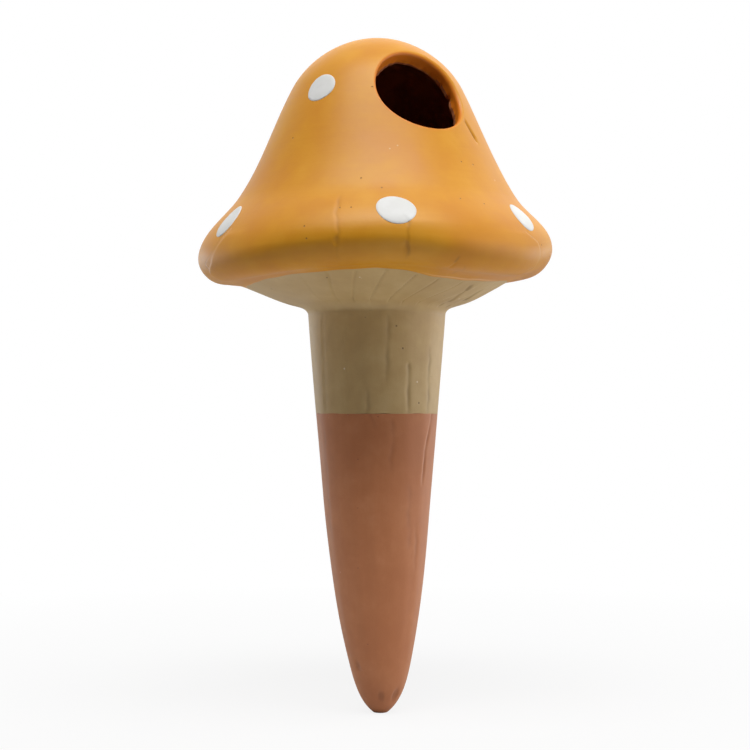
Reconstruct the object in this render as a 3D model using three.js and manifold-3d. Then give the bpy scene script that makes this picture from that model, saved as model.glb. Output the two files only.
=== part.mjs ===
// A mushroom-shaped terracotta watering spike for pot plants.
// The hollow cap is the reservoir, filled through a slanted hole in its crown. Water runs down the
// stem into the bare, porous spike, which is pushed into the soil and lets it seep out.
// Millimetres, +Z up, front towards -Y. The origin is on the centreline at the soil line, where the
// painted stem ends and the bare spike begins.

import * as THREE from 'three';
import { mergeVertices } from 'three/addons/utils/BufferGeometryUtils.js';
import Module from 'manifold-3d';

const wasm = await Module();
wasm.setup();

// Clay wall and the joints between the pieces
const WALL = 4;
const LUTING_GAP = 0.3;
const LAP_LENGTH = 4;
const SPIGOT_LENGTH = 4;

// Heights, stacked upwards from the soil line
const STEM_HEIGHT = 26.2;
const NECK_FILLET_RISE = 2.9;
const GILL_RISE = 6.8;
const LIP_RISE = 6.5;
const BRIM_RISE = 14;
const BELL_RISE = 29.7;
const CROWN_RISE = 13.6;

// Radii, and the steps between neighbouring rings of the outline
const SOIL_RADIUS = 16.3;
const NECK_RADIUS = 18.25;
const NECK_FILLET_REACH = 3.95;
const SHOULDER_RADIUS = 22.8;
const BELL_SPREAD = 14.4;
const BRIM_SPREAD = 9.55;
const LIP_TUCK = 5.95;
const SEAM_TUCK = 5.3;

// Spike below the soil line
const SPIKE_LENGTH = 79.75;
const POINT_LENGTH = 13.75;
const POINT_RADIUS = 8.4;
const TIP_RADIUS = 1.9;
const TIP_CLAY = 8;

// Slopes of the outline, in degrees below the horizontal or away from the vertical
const SHOULDER_SLOPE = 62;
const WAIST_SLOPE = 56;
const LIP_SLOPE = 6;
const GILL_SLOPE = 14;
const NECK_TAPER = 3.4;
const SOIL_TAPER = 4.8;
const POINT_TAPER = 12;
const TIP_TAPER = 52;
const FULLNESS = 0.34;

// Carved gills under the brim
const GILL_COUNT = 30;
const GILL_DEPTH = 0.7;

// Fill hole: its axis leaves the centreline below the top, turns to the right of the front and climbs
const HOLE_DIAMETER = 24;
const HOLE_AXIS_DROP = 34.5;
const HOLE_TURN = 28.8;
const HOLE_CLIMB = 36.2;

// Raised enamel spots, each at a turn from the front towards the right: the brim's stand a rise above
// its widest ring, and the crown's lie a drop below its top
const SPOT_BED = 0.15;
const SPOT_THICKNESS = 0.5;
const BRIM_SPOTS = [
  { name: 'brim_spot_front', turn: 6, rise: 6.4, diameter: 11 },
  { name: 'brim_spot_right', turn: 58, rise: 7.1, diameter: 9.5 },
  { name: 'brim_spot_rear_right', turn: 118, rise: 6.2, diameter: 10.5 },
  { name: 'brim_spot_rear', turn: 181, rise: 6.8, diameter: 11 },
  { name: 'brim_spot_rear_left', turn: 241, rise: 6, diameter: 10 },
  { name: 'brim_spot_left', turn: 303, rise: 6, diameter: 11 },
];
const CROWN_SPOTS = [
  { name: 'crown_spot_right', turn: 103, drop: 17.3, diameter: 8.5 },
  { name: 'crown_spot_rear', turn: 177, drop: 16.5, diameter: 8 },
  { name: 'crown_spot_left', turn: 251, drop: 17.1, diameter: 8.5 },
  { name: 'crown_spot_front_left', turn: 324.5, drop: 16.9, diameter: 8 },
];

// Fineness of the turned surfaces
const CAP_SEGMENTS = 60;
const STEM_SEGMENTS = 40;
const HOLE_SEGMENTS = 36;
const SPOT_SEGMENTS = 16;
const SEGMENTS_PER_GILL = 3;
const OUTER_STEPS = 4;
const INNER_STEPS = 2;
const GILL_STEPS = 4;
const SPIKE_STEPS = 6;
const MERGE_DISTANCE = 1e-4;

// Rings of the outline, as radius and height
const soilRing = new THREE.Vector2(SOIL_RADIUS, 0);
const neckRing = new THREE.Vector2(NECK_RADIUS, STEM_HEIGHT);
const gillRing = new THREE.Vector2(NECK_RADIUS + NECK_FILLET_REACH, STEM_HEIGHT + NECK_FILLET_RISE);
const brimRadius = SHOULDER_RADIUS + BELL_SPREAD + BRIM_SPREAD;
const lipRing = new THREE.Vector2(brimRadius - LIP_TUCK, gillRing.y + GILL_RISE);
const brimRing = new THREE.Vector2(brimRadius, lipRing.y + LIP_RISE);
const waistRing = new THREE.Vector2(SHOULDER_RADIUS + BELL_SPREAD, brimRing.y + BRIM_RISE);
const shoulderRing = new THREE.Vector2(SHOULDER_RADIUS, waistRing.y + BELL_RISE);
const apex = new THREE.Vector2(0, shoulderRing.y + CROWN_RISE);
const pointRing = new THREE.Vector2(POINT_RADIUS, POINT_LENGTH - SPIKE_LENGTH);
const tipRing = new THREE.Vector2(TIP_RADIUS, -SPIKE_LENGTH);
const seamRadius = lipRing.x - SEAM_TUCK;

// Unit vector at a heading: 0 points outwards, 90 down and 180 inwards.
function along(heading) {
  const angle = THREE.MathUtils.degToRad(heading);
  return new THREE.Vector2(Math.cos(angle), -Math.sin(angle));
}

// A smooth stretch of outline that leaves one ring at a heading and reaches the next at another.
function bend(from, fromHeading, to, toHeading) {
  const pull = from.distanceTo(to) * FULLNESS;
  const leave = from.clone().addScaledVector(along(fromHeading), pull);
  const arrive = to.clone().addScaledVector(along(toHeading), -pull);
  return new THREE.CubicBezierCurve(from, leave, arrive, to);
}

const crown = bend(apex, 0, shoulderRing, SHOULDER_SLOPE);
const bell = bend(shoulderRing, SHOULDER_SLOPE, waistRing, WAIST_SLOPE);
const brim = bend(waistRing, WAIST_SLOPE, brimRing, 90);
const lip = bend(brimRing, 90, lipRing, 180 - LIP_SLOPE);
const underside = bend(lipRing, 180 - LIP_SLOPE, gillRing, 180 - GILL_SLOPE);
const neckFillet = bend(gillRing, 180 - GILL_SLOPE, neckRing, 90 + NECK_TAPER);
const stemSide = bend(neckRing, 90 + NECK_TAPER, soilRing, 90 + SOIL_TAPER);
const spikeSide = bend(soilRing, 90 + SOIL_TAPER, pointRing, 90 + POINT_TAPER);
const spikePoint = bend(pointRing, 90 + POINT_TAPER, tipRing, 90 + TIP_TAPER);

// Where a stretch that falls or narrows all the way passes a height ('y') or a radius ('x').
function passes(curve, axis, value) {
  let near = 0;
  let far = 1;
  while (far - near > MERGE_DISTANCE) {
    const middle = (near + far) / 2;
    if (curve.getPoint(middle)[axis] > value) {
      near = middle;
    } else {
      far = middle;
    }
  }
  return (near + far) / 2;
}

// Direction square to a stretch, pointing into the clay.
function inward(curve, t) {
  const heading = curve.getTangent(t);
  return new THREE.Vector2(heading.y, -heading.x);
}

// Points along part of a stretch, set into the clay by a depth.
function trace(curve, depth, steps, start = 0, end = 1) {
  const points = [];
  for (let i = 0; i <= steps; i += 1) {
    const t = THREE.MathUtils.lerp(start, end, i / steps);
    points.push(curve.getPoint(t).addScaledVector(inward(curve, t), depth));
  }
  return points;
}

// One run of points from several, without repeats and never across the centreline.
function run(...pieces) {
  const points = pieces.flat().map((point) => new THREE.Vector2(Math.max(point.x, 0), point.y));
  return points.filter((point, i) => i === 0 || point.distanceTo(points[i - 1]) > MERGE_DISTANCE);
}

// A body turned about the centreline from a run of points, wound so that its faces point out.
function turned(points, segments) {
  const section = THREE.ShapeUtils.isClockWise(points) ? points.toReversed() : points;
  return new THREE.LatheGeometry(section, segments).rotateX(Math.PI / 2);
}

// A run of points closed on itself, for a ring that is open along the centreline.
function ringed(points) {
  return [...points, points[0]];
}

// The solid inside a closed surface.
function solid(geometry) {
  geometry.deleteAttribute('normal');
  geometry.deleteAttribute('uv');
  const merged = mergeVertices(geometry, MERGE_DISTANCE);
  const corners = merged.index.array;
  const triVerts = [];
  for (let i = 0; i < corners.length; i += 3) {
    const [a, b, c] = corners.slice(i, i + 3);
    if (a !== b && b !== c && c !== a) {
      triVerts.push(a, b, c);
    }
  }
  const surface = new wasm.Mesh({
    numProp: 3,
    vertProperties: merged.attributes.position.array,
    triVerts: new Uint32Array(triVerts),
  });
  return new wasm.Manifold(surface);
}

// The surface of a solid.
function surfaceOf(body) {
  const { vertProperties, triVerts } = body.getMesh();
  const geometry = new THREE.BufferGeometry();
  geometry.setAttribute('position', new THREE.BufferAttribute(vertProperties, 3));
  geometry.setIndex(new THREE.BufferAttribute(triVerts, 1));
  geometry.computeVertexNormals();
  return geometry;
}

// A round bar centred on a point and lying along a direction.
function bar(diameter, length, segments, centre, direction) {
  const geometry = new THREE.CylinderGeometry(diameter / 2, diameter / 2, length, segments);
  const tilt = new THREE.Quaternion().setFromUnitVectors(new THREE.Vector3(0, 1, 0), direction);
  return solid(geometry.applyQuaternion(tilt).translate(centre.x, centre.y, centre.z));
}

// Lifts an outline vector of radius and height into space at a turn from the front.
function atTurn(vector, turn) {
  const angle = THREE.MathUtils.degToRad(turn);
  return new THREE.Vector3(vector.x * Math.sin(angle), -vector.x * Math.cos(angle), vector.y);
}

// The cap: a bell with a rolled lip, whose inner edge is a tongue that laps over the gill plate.
function capShell() {
  const seam = passes(underside, 'x', seamRadius);
  const tongueEnd = passes(underside, 'x', seamRadius - LAP_LENGTH);
  const outside = [crown, bell, brim, lip].flatMap((curve) => trace(curve, 0, OUTER_STEPS));
  const inside = [lip, brim, bell, crown].flatMap((curve) => trace(curve, WALL, INNER_STEPS, 1, 0));
  const section = run(
    outside,
    trace(underside, 0, INNER_STEPS, 0, seam),
    trace(underside, WALL / 2, 1, seam, tongueEnd),
    trace(underside, WALL, INNER_STEPS, tongueEnd, 0),
    inside,
  );
  return solid(turned(section, CAP_SEGMENTS)).subtract(fillHole());
}

// The slanted bar that the fill hole is cut with, from the heart of the cap out past its side.
function fillHole() {
  const direction = atTurn(along(-HOLE_CLIMB), HOLE_TURN);
  const length = 2 * brimRadius;
  const heart = new THREE.Vector3(0, 0, apex.y - HOLE_AXIS_DROP);
  const centre = heart.addScaledVector(direction, (HOLE_DIAMETER + length) / 2);
  return bar(HOLE_DIAMETER, length, HOLE_SEGMENTS, centre, direction);
}

// Spigots take the inner half of the wall and their sockets the outer half.
const neckSpigotRadius = NECK_RADIUS - (WALL + LUTING_GAP) / 2;
const soilSpigotRadius = SOIL_RADIUS - (WALL + LUTING_GAP) / 2;

// The gilled underside: its rim lies in the cap's lap and its neck ends in a spigot for the stem.
function gillPlate() {
  const rim = passes(underside, 'x', seamRadius - LUTING_GAP);
  const lapEnd = passes(underside, 'x', seamRadius - LAP_LENGTH - LUTING_GAP);
  const spigotEnd = STEM_HEIGHT - SPIGOT_LENGTH;
  const gilled = trace(underside, 0, GILL_STEPS, rim, 1);
  const section = run(
    gilled,
    trace(neckFillet, 0, INNER_STEPS),
    new THREE.Vector2(neckSpigotRadius, STEM_HEIGHT),
    new THREE.Vector2(neckSpigotRadius, spigotEnd),
    new THREE.Vector2(NECK_RADIUS - WALL, spigotEnd),
    trace(neckFillet, WALL, INNER_STEPS, 1, 0),
    trace(underside, WALL, 1, 1, lapEnd),
    trace(underside, WALL / 2 - LUTING_GAP, 1, lapEnd, rim),
  );
  const plate = turned(ringed(section), GILL_COUNT * SEGMENTS_PER_GILL);
  carveGills(plate, gilled);
  return solid(plate);
}

// Sinks a groove into the underside at every gill, deepest half way between its rim and its neck.
function carveGills(plate, gilled) {
  const position = plate.attributes.position;
  const pitch = (2 * Math.PI) / GILL_COUNT;
  for (let i = 0; i < position.count; i += 1) {
    const corner = new THREE.Vector3().fromBufferAttribute(position, i);
    const ring = new THREE.Vector2(Math.hypot(corner.x, corner.y), corner.z);
    const gill = Math.atan2(corner.x, corner.y) / pitch;
    const inGroove = Math.abs(gill - Math.round(gill)) * SEGMENTS_PER_GILL < 0.5;
    if (inGroove && gilled.some((point) => point.distanceTo(ring) < MERGE_DISTANCE)) {
      const share = THREE.MathUtils.inverseLerp(gilled[0].x, gilled.at(-1).x, ring.x);
      position.setZ(i, corner.z + GILL_DEPTH * Math.sin(Math.PI * share));
    }
  }
}

// The stem: a tapered tube with a socket at the top and a spigot at the foot.
function stemTube() {
  const top = STEM_HEIGHT - LUTING_GAP;
  const socketRadius = neckSpigotRadius + LUTING_GAP;
  const socketFloor = STEM_HEIGHT - SPIGOT_LENGTH - LUTING_GAP;
  const boreTop = passes(stemSide, 'y', socketFloor);
  const bore = trace(stemSide, WALL, INNER_STEPS, boreTop, 1);
  bore[0].y = socketFloor;
  const section = run(
    new THREE.Vector2(soilSpigotRadius, -SPIGOT_LENGTH),
    new THREE.Vector2(soilSpigotRadius, 0),
    trace(stemSide, 0, OUTER_STEPS, 1, passes(stemSide, 'y', top)),
    new THREE.Vector2(socketRadius, top),
    new THREE.Vector2(socketRadius, socketFloor),
    bore,
    new THREE.Vector2(bore.at(-1).x, -SPIGOT_LENGTH),
  );
  return solid(turned(ringed(section), STEM_SEGMENTS));
}

// The spike: a closed, tapered point with a deep bore and a socket for the stem.
function spikePiece() {
  const top = -LUTING_GAP;
  const socketRadius = soilSpigotRadius + LUTING_GAP;
  const socketFloor = -SPIGOT_LENGTH - LUTING_GAP;
  const boreTop = passes(spikeSide, 'y', socketFloor);
  const bore = trace(spikeSide, WALL, SPIKE_STEPS, 1, boreTop);
  bore.at(-1).y = socketFloor;
  const boreEnd = new THREE.Vector2(0, TIP_CLAY - SPIKE_LENGTH);
  const boreTip = bend(bore[0], 90 + POINT_TAPER, boreEnd, 180);
  const section = run(
    trace(boreTip, 0, INNER_STEPS, 1, 0),
    bore,
    new THREE.Vector2(socketRadius, socketFloor),
    new THREE.Vector2(socketRadius, top),
    trace(spikeSide, 0, SPIKE_STEPS, passes(spikeSide, 'y', top), 1),
    trace(spikePoint, 0, OUTER_STEPS),
    new THREE.Vector2(0, -SPIKE_LENGTH),
  );
  return solid(turned(section, STEM_SEGMENTS));
}

// The layer over the whole cap that the enamel spots are cut from.
function enamelLayer() {
  const top = -SPOT_BED - SPOT_THICKNESS;
  const bed = [crown, bell, brim].flatMap((curve) => trace(curve, -SPOT_BED, OUTER_STEPS));
  const face = [brim, bell, crown].flatMap((curve) => trace(curve, top, OUTER_STEPS, 1, 0));
  return solid(turned(run(bed, face), CAP_SEGMENTS));
}

// One enamel spot: the round patch of the layer at a turn and height on the cap.
function enamelSpot(layer, turn, height, diameter) {
  const curve = [crown, bell, brim].find((stretch) => stretch.v3.y < height);
  const t = passes(curve, 'y', height);
  const outward = atTurn(inward(curve, t).negate(), turn);
  return layer.intersect(bar(diameter, diameter, SPOT_SEGMENTS, atTurn(curve.getPoint(t), turn), outward));
}

const ochrePaint = new THREE.MeshStandardMaterial({ color: 0xd0943f, roughness: 0.42, metalness: 0 });
const khakiPaint = new THREE.MeshStandardMaterial({ color: 0xa18a63, roughness: 0.75, metalness: 0 });
const bareTerracotta = new THREE.MeshStandardMaterial({ color: 0xa8704f, roughness: 0.9, metalness: 0 });
const whiteEnamel = new THREE.MeshStandardMaterial({ color: 0xeeeeea, roughness: 0.35, metalness: 0 });

const waterer = new THREE.Group();

function place(name, body, material) {
  const mesh = new THREE.Mesh(surfaceOf(body), material);
  mesh.name = name;
  waterer.add(mesh);
}

place('cap_shell', capShell(), ochrePaint);
place('gill_plate', gillPlate(), khakiPaint);
place('stem', stemTube(), khakiPaint);
place('spike', spikePiece(), bareTerracotta);
const layer = enamelLayer();
for (const { name, turn, rise, diameter } of BRIM_SPOTS) {
  place(name, enamelSpot(layer, turn, brimRing.y + rise, diameter), whiteEnamel);
}
for (const { name, turn, drop, diameter } of CROWN_SPOTS) {
  place(name, enamelSpot(layer, turn, apex.y - drop, diameter), whiteEnamel);
}

export default waterer;
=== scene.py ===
"""Looks of a mushroom-shaped terracotta watering spike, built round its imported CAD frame.

Sizes inside the classes are millimetres and degrees, as a potter would note them. Meshes are written in
metres. The front faces -Y, a turn runs from the front towards the right, and the soil line is at height 0.
"""

from __future__ import annotations

import logging
import math
from abc import ABC, abstractmethod
from dataclasses import dataclass, field
from enum import Enum
from typing import Any, Sequence

import bpy
import numpy as np
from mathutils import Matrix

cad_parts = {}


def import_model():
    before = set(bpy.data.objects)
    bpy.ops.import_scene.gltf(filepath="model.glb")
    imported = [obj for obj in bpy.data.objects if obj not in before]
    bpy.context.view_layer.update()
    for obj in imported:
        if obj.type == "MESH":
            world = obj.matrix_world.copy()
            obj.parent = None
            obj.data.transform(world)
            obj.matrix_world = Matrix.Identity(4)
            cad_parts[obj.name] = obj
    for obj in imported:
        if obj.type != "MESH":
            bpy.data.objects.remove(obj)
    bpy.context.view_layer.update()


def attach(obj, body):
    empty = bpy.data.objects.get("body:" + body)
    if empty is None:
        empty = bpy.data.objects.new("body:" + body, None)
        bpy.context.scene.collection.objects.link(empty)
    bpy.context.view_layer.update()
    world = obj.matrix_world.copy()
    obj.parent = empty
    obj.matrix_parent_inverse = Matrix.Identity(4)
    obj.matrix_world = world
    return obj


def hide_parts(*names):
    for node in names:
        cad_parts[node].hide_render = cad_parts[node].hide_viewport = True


LOG = logging.getLogger("plant_waterer")
MM = 0.001
BODY = "root"
MERGE = 2e-6
TINY = 1e-9
ROUND = 2.0 * math.pi
FINE_TURNS = 7201
NO_PLACES = np.empty((0, 3))

Span = tuple[float, float]
Place = tuple[float, float, float]
Colour = tuple[float, float, float]


class Side(Enum):
    """Which side of a fold or groove stands proud, as a sign on the turn."""

    LEFT = -1
    RIGHT = 1
    NEITHER = 0


class Slot(Enum):
    """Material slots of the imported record."""

    OCHRE = "ochre_paint"
    KHAKI = "khaki_paint"
    CLAY = "bare_terracotta"
    ENAMEL = "white_enamel"


def smooth(low: float, high: float, value: np.ndarray) -> np.ndarray:
    """Eased ramp from 0 at low to 1 at high; low may be the larger."""
    share = np.clip((value - low) / (high - low), 0.0, 1.0)
    return share * share * (3.0 - 2.0 * share)


def turn_of(points: np.ndarray) -> np.ndarray:
    """Turns of points from the front towards the right, in degrees from -180 to 180."""
    return np.degrees(np.arctan2(points[:, 0], -points[:, 1]))


def turn_gap(turns: np.ndarray, other: np.ndarray | float) -> np.ndarray:
    """Signed difference of turns, wrapped to -180 to 180 degrees."""
    return (turns - other + 180.0) % 360.0 - 180.0


def radius_of(points: np.ndarray) -> np.ndarray:
    """Distances of points from the centreline."""
    return np.hypot(points[:, 0], points[:, 1])


def bell(offset: np.ndarray, width: float, power: int = 2) -> np.ndarray:
    """Bump that is 1 at offset 0 and fades over a width; a higher power flattens its top."""
    return np.exp(-((offset / width) ** power))


@dataclass(frozen=True)
class Waves:
    """Seeded waves round the centreline: their rough height and their numbers per full turn."""

    seed: int
    height: float
    counts: tuple[int, ...]
    least: float = 0.5

    def at(self, turns: np.ndarray) -> np.ndarray:
        """Sum of the waves.

        Args:
            turns: Turns in degrees.

        Returns:
            The height at every turn.
        """
        rng = np.random.default_rng(self.seed)
        total = np.zeros_like(turns)
        for count in self.counts:
            share = rng.uniform(self.least, 1.0)
            total += share * np.sin(np.radians(turns) * count + rng.uniform(0.0, ROUND))
        return total * self.height / len(self.counts)


@dataclass(frozen=True)
class Stretch:
    """One smooth stretch of the outline between two rings, as radius and height."""

    start: np.ndarray
    leave: np.ndarray
    arrive: np.ndarray
    end: np.ndarray
    fine: int = 2001

    def points(self, t: np.ndarray) -> np.ndarray:
        """Points along the stretch.

        Args:
            t: Shares of the stretch, from 0 to 1.

        Returns:
            Radius and height at every share.
        """
        t = t[:, None]
        u = 1.0 - t
        return u**3 * self.start + 3 * u * u * t * self.leave + 3 * u * t * t * self.arrive + t**3 * self.end

    def inward(self, t: np.ndarray) -> np.ndarray:
        """Directions square to the stretch.

        Args:
            t: Shares of the stretch, from 0 to 1.

        Returns:
            Unit vectors that point into the clay.
        """
        t = t[:, None]
        u = 1.0 - t
        run = u * u * (self.leave - self.start) + 2 * u * t * (self.arrive - self.leave)
        run = run + t * t * (self.end - self.arrive)
        run = run / np.linalg.norm(run, axis=1, keepdims=True)
        return np.column_stack([run[:, 1], -run[:, 0]])

    def trace(self, steps: int, depth: float = 0.0, first: float = 0.0, last: float = 1.0) -> np.ndarray:
        """Evenly stepped points along part of the stretch, set into the clay by a depth."""
        t = np.linspace(first, last, steps + 1)
        return self.points(t) + self.inward(t) * depth

    def passes(self, axis: int, value: float) -> float:
        """Share at which a stretch that falls or narrows passes a radius (axis 0) or a height (axis 1)."""
        t = np.linspace(0.0, 1.0, self.fine)
        return float(t[np.argmax(self.points(t)[:, axis] <= value)])


@dataclass(frozen=True)
class Outline:
    """The turned outline of the whole pot, with the rings that its stretches join."""

    apex: Span = (0.0, 99.7)
    shoulder: Span = (22.8, 86.1)
    waist: Span = (37.2, 56.4)
    brim: Span = (46.75, 42.4)
    lip: Span = (40.8, 35.9)
    gill_foot: Span = (22.2, 29.1)
    neck: Span = (18.25, 26.2)
    soil: Span = (16.3, 0.0)
    point: Span = (8.4, -66.0)
    tip: Span = (1.9, -79.75)
    fullness: float = 0.34
    wall: float = 4.0
    seam_radius: float = 35.5
    lap: float = 4.0
    slip: float = 0.04
    shoulder_slope: float = 62.0
    waist_slope: float = 56.0
    lip_slope: float = 6.0
    gill_slope: float = 14.0
    neck_taper: float = 3.4
    soil_taper: float = 4.8
    point_taper: float = 12.0
    tip_taper: float = 52.0
    skin_marks: int = 241

    def stem_points(self, marks: Sequence[Span]) -> np.ndarray:
        """Points on the turned stem and gills.

        Args:
            marks: Turn and height of every point.

        Returns:
            The points in millimetres.
        """
        run = [self.underside().trace(200), self.fillet().trace(100), self.stem_side().trace(100)]
        skin = np.vstack(run)[::-1]
        turns, heights = np.radians([mark[0] for mark in marks]), np.array([mark[1] for mark in marks])
        radius = np.interp(heights, skin[:, 1], skin[:, 0])
        return np.column_stack([radius * np.sin(turns), -radius * np.cos(turns), heights])

    def bend(self, start: Sequence[float], leaves: float, end: Sequence[float], arrives: float) -> Stretch:
        """A stretch that leaves one ring at a heading and reaches the next at another.

        Args:
            start: First ring.
            leaves: Heading there, 0 outwards, 90 down and 180 inwards.
            end: Second ring.
            arrives: Heading there.

        Returns:
            The stretch between them.
        """
        first, last = np.array(start, float), np.array(end, float)
        pull = float(np.linalg.norm(last - first)) * self.fullness
        out = np.array([math.cos(math.radians(leaves)), -math.sin(math.radians(leaves))])
        home = np.array([math.cos(math.radians(arrives)), -math.sin(math.radians(arrives))])
        return Stretch(first, first + out * pull, last - home * pull, last)

    def crown_run(self) -> list[Stretch]:
        """The stretches over the cap, from its top to its lip."""
        return [
            self.bend(self.apex, 0.0, self.shoulder, self.shoulder_slope),
            self.bend(self.shoulder, self.shoulder_slope, self.waist, self.waist_slope),
            self.bend(self.waist, self.waist_slope, self.brim, 90.0),
            self.bend(self.brim, 90.0, self.lip, 180.0 - self.lip_slope),
        ]

    def underside(self) -> Stretch:
        """The gilled stretch from the lip to the foot of the gills."""
        return self.bend(self.lip, 180.0 - self.lip_slope, self.gill_foot, 180.0 - self.gill_slope)

    def fillet(self) -> Stretch:
        """The rounded corner between gills and stem."""
        return self.bend(self.gill_foot, 180.0 - self.gill_slope, self.neck, 90.0 + self.neck_taper)

    def stem_side(self) -> Stretch:
        """The stem's side from neck to soil line."""
        return self.bend(self.neck, 90.0 + self.neck_taper, self.soil, 90.0 + self.soil_taper)

    def spike_side(self) -> Stretch:
        """The spike's side from soil line to point."""
        return self.bend(self.soil, 90.0 + self.soil_taper, self.point, 90.0 + self.point_taper)

    def spike_point(self) -> Stretch:
        """The spike's rounded point."""
        return self.bend(self.point, 90.0 + self.point_taper, self.tip, 90.0 + self.tip_taper)

    def cap_skin(self) -> tuple[np.ndarray, np.ndarray]:
        """Fine points down the cap's outside, from its top to its brim.

        Returns:
            Radius and height of the points, and their outward vectors.
        """
        t = np.linspace(0.0, 1.0, self.skin_marks)
        run = self.crown_run()[:3]
        points = np.vstack([stretch.points(t)[:-1] for stretch in run])
        outward = -np.vstack([stretch.inward(t)[:-1] for stretch in run])
        return points, outward


@dataclass(frozen=True)
class HandShape:
    """What the hand and the kiln did to the turned form: a tilted brim, a leaning tip and soft dents."""

    outline: Outline
    brim_tilt: float = 1.15
    brim_shift: float = -0.4
    brim_reach: Span = (18.0, 40.0)
    brim_height: Span = (58.0, 44.0)
    tip_lean: float = 0.9
    lean_run: Span = (-22.0, -80.0)
    dent: float = 0.14
    dent_seed: int = 11
    dent_waves: int = 14
    dent_span: Span = (22.0, 55.0)
    dent_foot: Span = (-79.0, -72.0)
    flute: Waves = Waves(41, 0.09, (4, 9, 13, 19))
    flute_twist: float = 0.1
    flute_top: Span = (25.5, 20.0)
    flute_foot: Span = (-74.0, -50.0)
    soil_edge: Waves = Waves(7, 0.16, (3, 8, 13, 21))
    soil_edge_height: Span = (3.0, 0.3)
    soil_edge_depth: float = 1.5
    seam_fray: Waves = Waves(5, 0.3, (17, 23, 31))
    seam_inner: Span = (24.0, 35.0)
    seam_outer: Span = (42.5, 36.0)
    seam_height: float = 5.0
    seam_wave: tuple[Span, ...] = (
        (-180.0, 35.9), (-150.0, 34.6), (-120.0, 36.4), (-90.0, 33.8), (-62.0, 35.6), (-47.0, 36.8),
        (-35.0, 37.3), (-14.0, 37.8), (0.0, 38.0), (13.0, 36.3), (23.0, 34.6), (32.0, 34.2),
        (45.0, 34.5), (56.0, 34.6), (90.0, 35.2), (120.0, 36.1), (150.0, 34.9), (180.0, 35.9),
    )
    droop: tuple[Span, ...] = (
        (-180.0, -0.5), (-150.0, 0.1), (-118.0, 1.0), (-100.0, 0.4), (-82.0, 0.0), (-56.0, -1.1),
        (-28.0, -0.4), (0.0, 0.1), (10.0, 0.0), (30.0, -1.1), (50.0, -1.7), (82.0, 0.0),
        (118.0, -0.2), (150.0, 0.6), (180.0, -0.5),
    )
    droop_blur: tuple[float, ...] = (-8.0, -4.0, 0.0, 4.0, 8.0)

    def dents(self, points: np.ndarray) -> np.ndarray:
        """Soft dents, the same field for every piece so that the seams stay closed.

        Args:
            points: Points in millimetres.

        Returns:
            The push at every point.
        """
        rng = np.random.default_rng(self.dent_seed)
        push = np.zeros_like(points)
        for _ in range(self.dent_waves):
            heading = rng.normal(size=3)
            heading /= np.linalg.norm(heading)
            wave = ROUND / rng.uniform(*self.dent_span)
            phase = rng.uniform(0.0, ROUND)
            direction = rng.normal(size=3)
            push += np.sin(points @ heading * wave + phase)[:, None] * direction
        return push * self.dent / math.sqrt(self.dent_waves)

    def seam_radius(self, turns: np.ndarray) -> np.ndarray:
        """Radius of the border between the two paints, all round the underside."""
        marks, wanted = np.array(self.seam_wave).T
        return np.interp(turns, marks, wanted) + self.seam_fray.at(turns)

    def seam_shift(self, points: np.ndarray) -> np.ndarray:
        """Moves the border of the two paints in or out along the underside.

        Args:
            points: Points of the turned form in millimetres.

        Returns:
            The points, moved near the border only.
        """
        radius = radius_of(points)
        skin = self.outline.underside().trace(120)[::-1]
        below = points[:, 2] < self.outline.lip[1] + self.seam_height
        weight = smooth(*self.seam_inner, radius) * smooth(*self.seam_outer, radius) * below
        shift = (self.seam_radius(turn_of(points)) - self.outline.seam_radius) * weight
        fall = np.interp(radius + shift, skin[:, 0], skin[:, 1]) - np.interp(radius, skin[:, 0], skin[:, 1])
        moved = points.copy()
        moved[:, :2] *= ((radius + shift) / np.maximum(radius, TINY))[:, None]
        moved[:, 2] += fall
        return moved

    def flutes(self, points: np.ndarray) -> np.ndarray:
        """Soft flutes of the scraper, shared by stem and spike so that they meet flush."""
        lift = self.flute.at(turn_of(points) + points[:, 2] * self.flute_twist)
        return lift * smooth(*self.flute_top, points[:, 2]) * smooth(*self.flute_foot, points[:, 2])

    def apply(self, points: np.ndarray) -> np.ndarray:
        """Gives the turned form the shape that the hand left.

        Args:
            points: Points of the turned form in millimetres.

        Returns:
            The points where they lie on the finished pot.
        """
        moved = self.seam_shift(points)
        radius, height, turn = radius_of(points), points[:, 2], turn_of(points)
        rim = smooth(*self.brim_reach, radius) * smooth(*self.brim_height, height)
        turns, fall = np.array(self.droop).T
        hang = np.interp((turn[:, None] + self.droop_blur) % 360.0, turns % 360.0, fall, period=360.0)
        moved[:, 2] += (self.brim_tilt * points[:, 0] / self.outline.brim[0] + hang.mean(axis=1)) * rim
        moved[:, 0] += self.brim_shift * rim
        moved[:, 0] += self.tip_lean * smooth(*self.lean_run, height)
        at_skin = radius > self.outline.soil[0] - self.soil_edge_depth
        moved[:, 2] += self.soil_edge.at(turn) * smooth(*self.soil_edge_height, np.abs(height)) * at_skin
        return moved + self.dents(points) * smooth(*self.dent_foot, height)[:, None]


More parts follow.
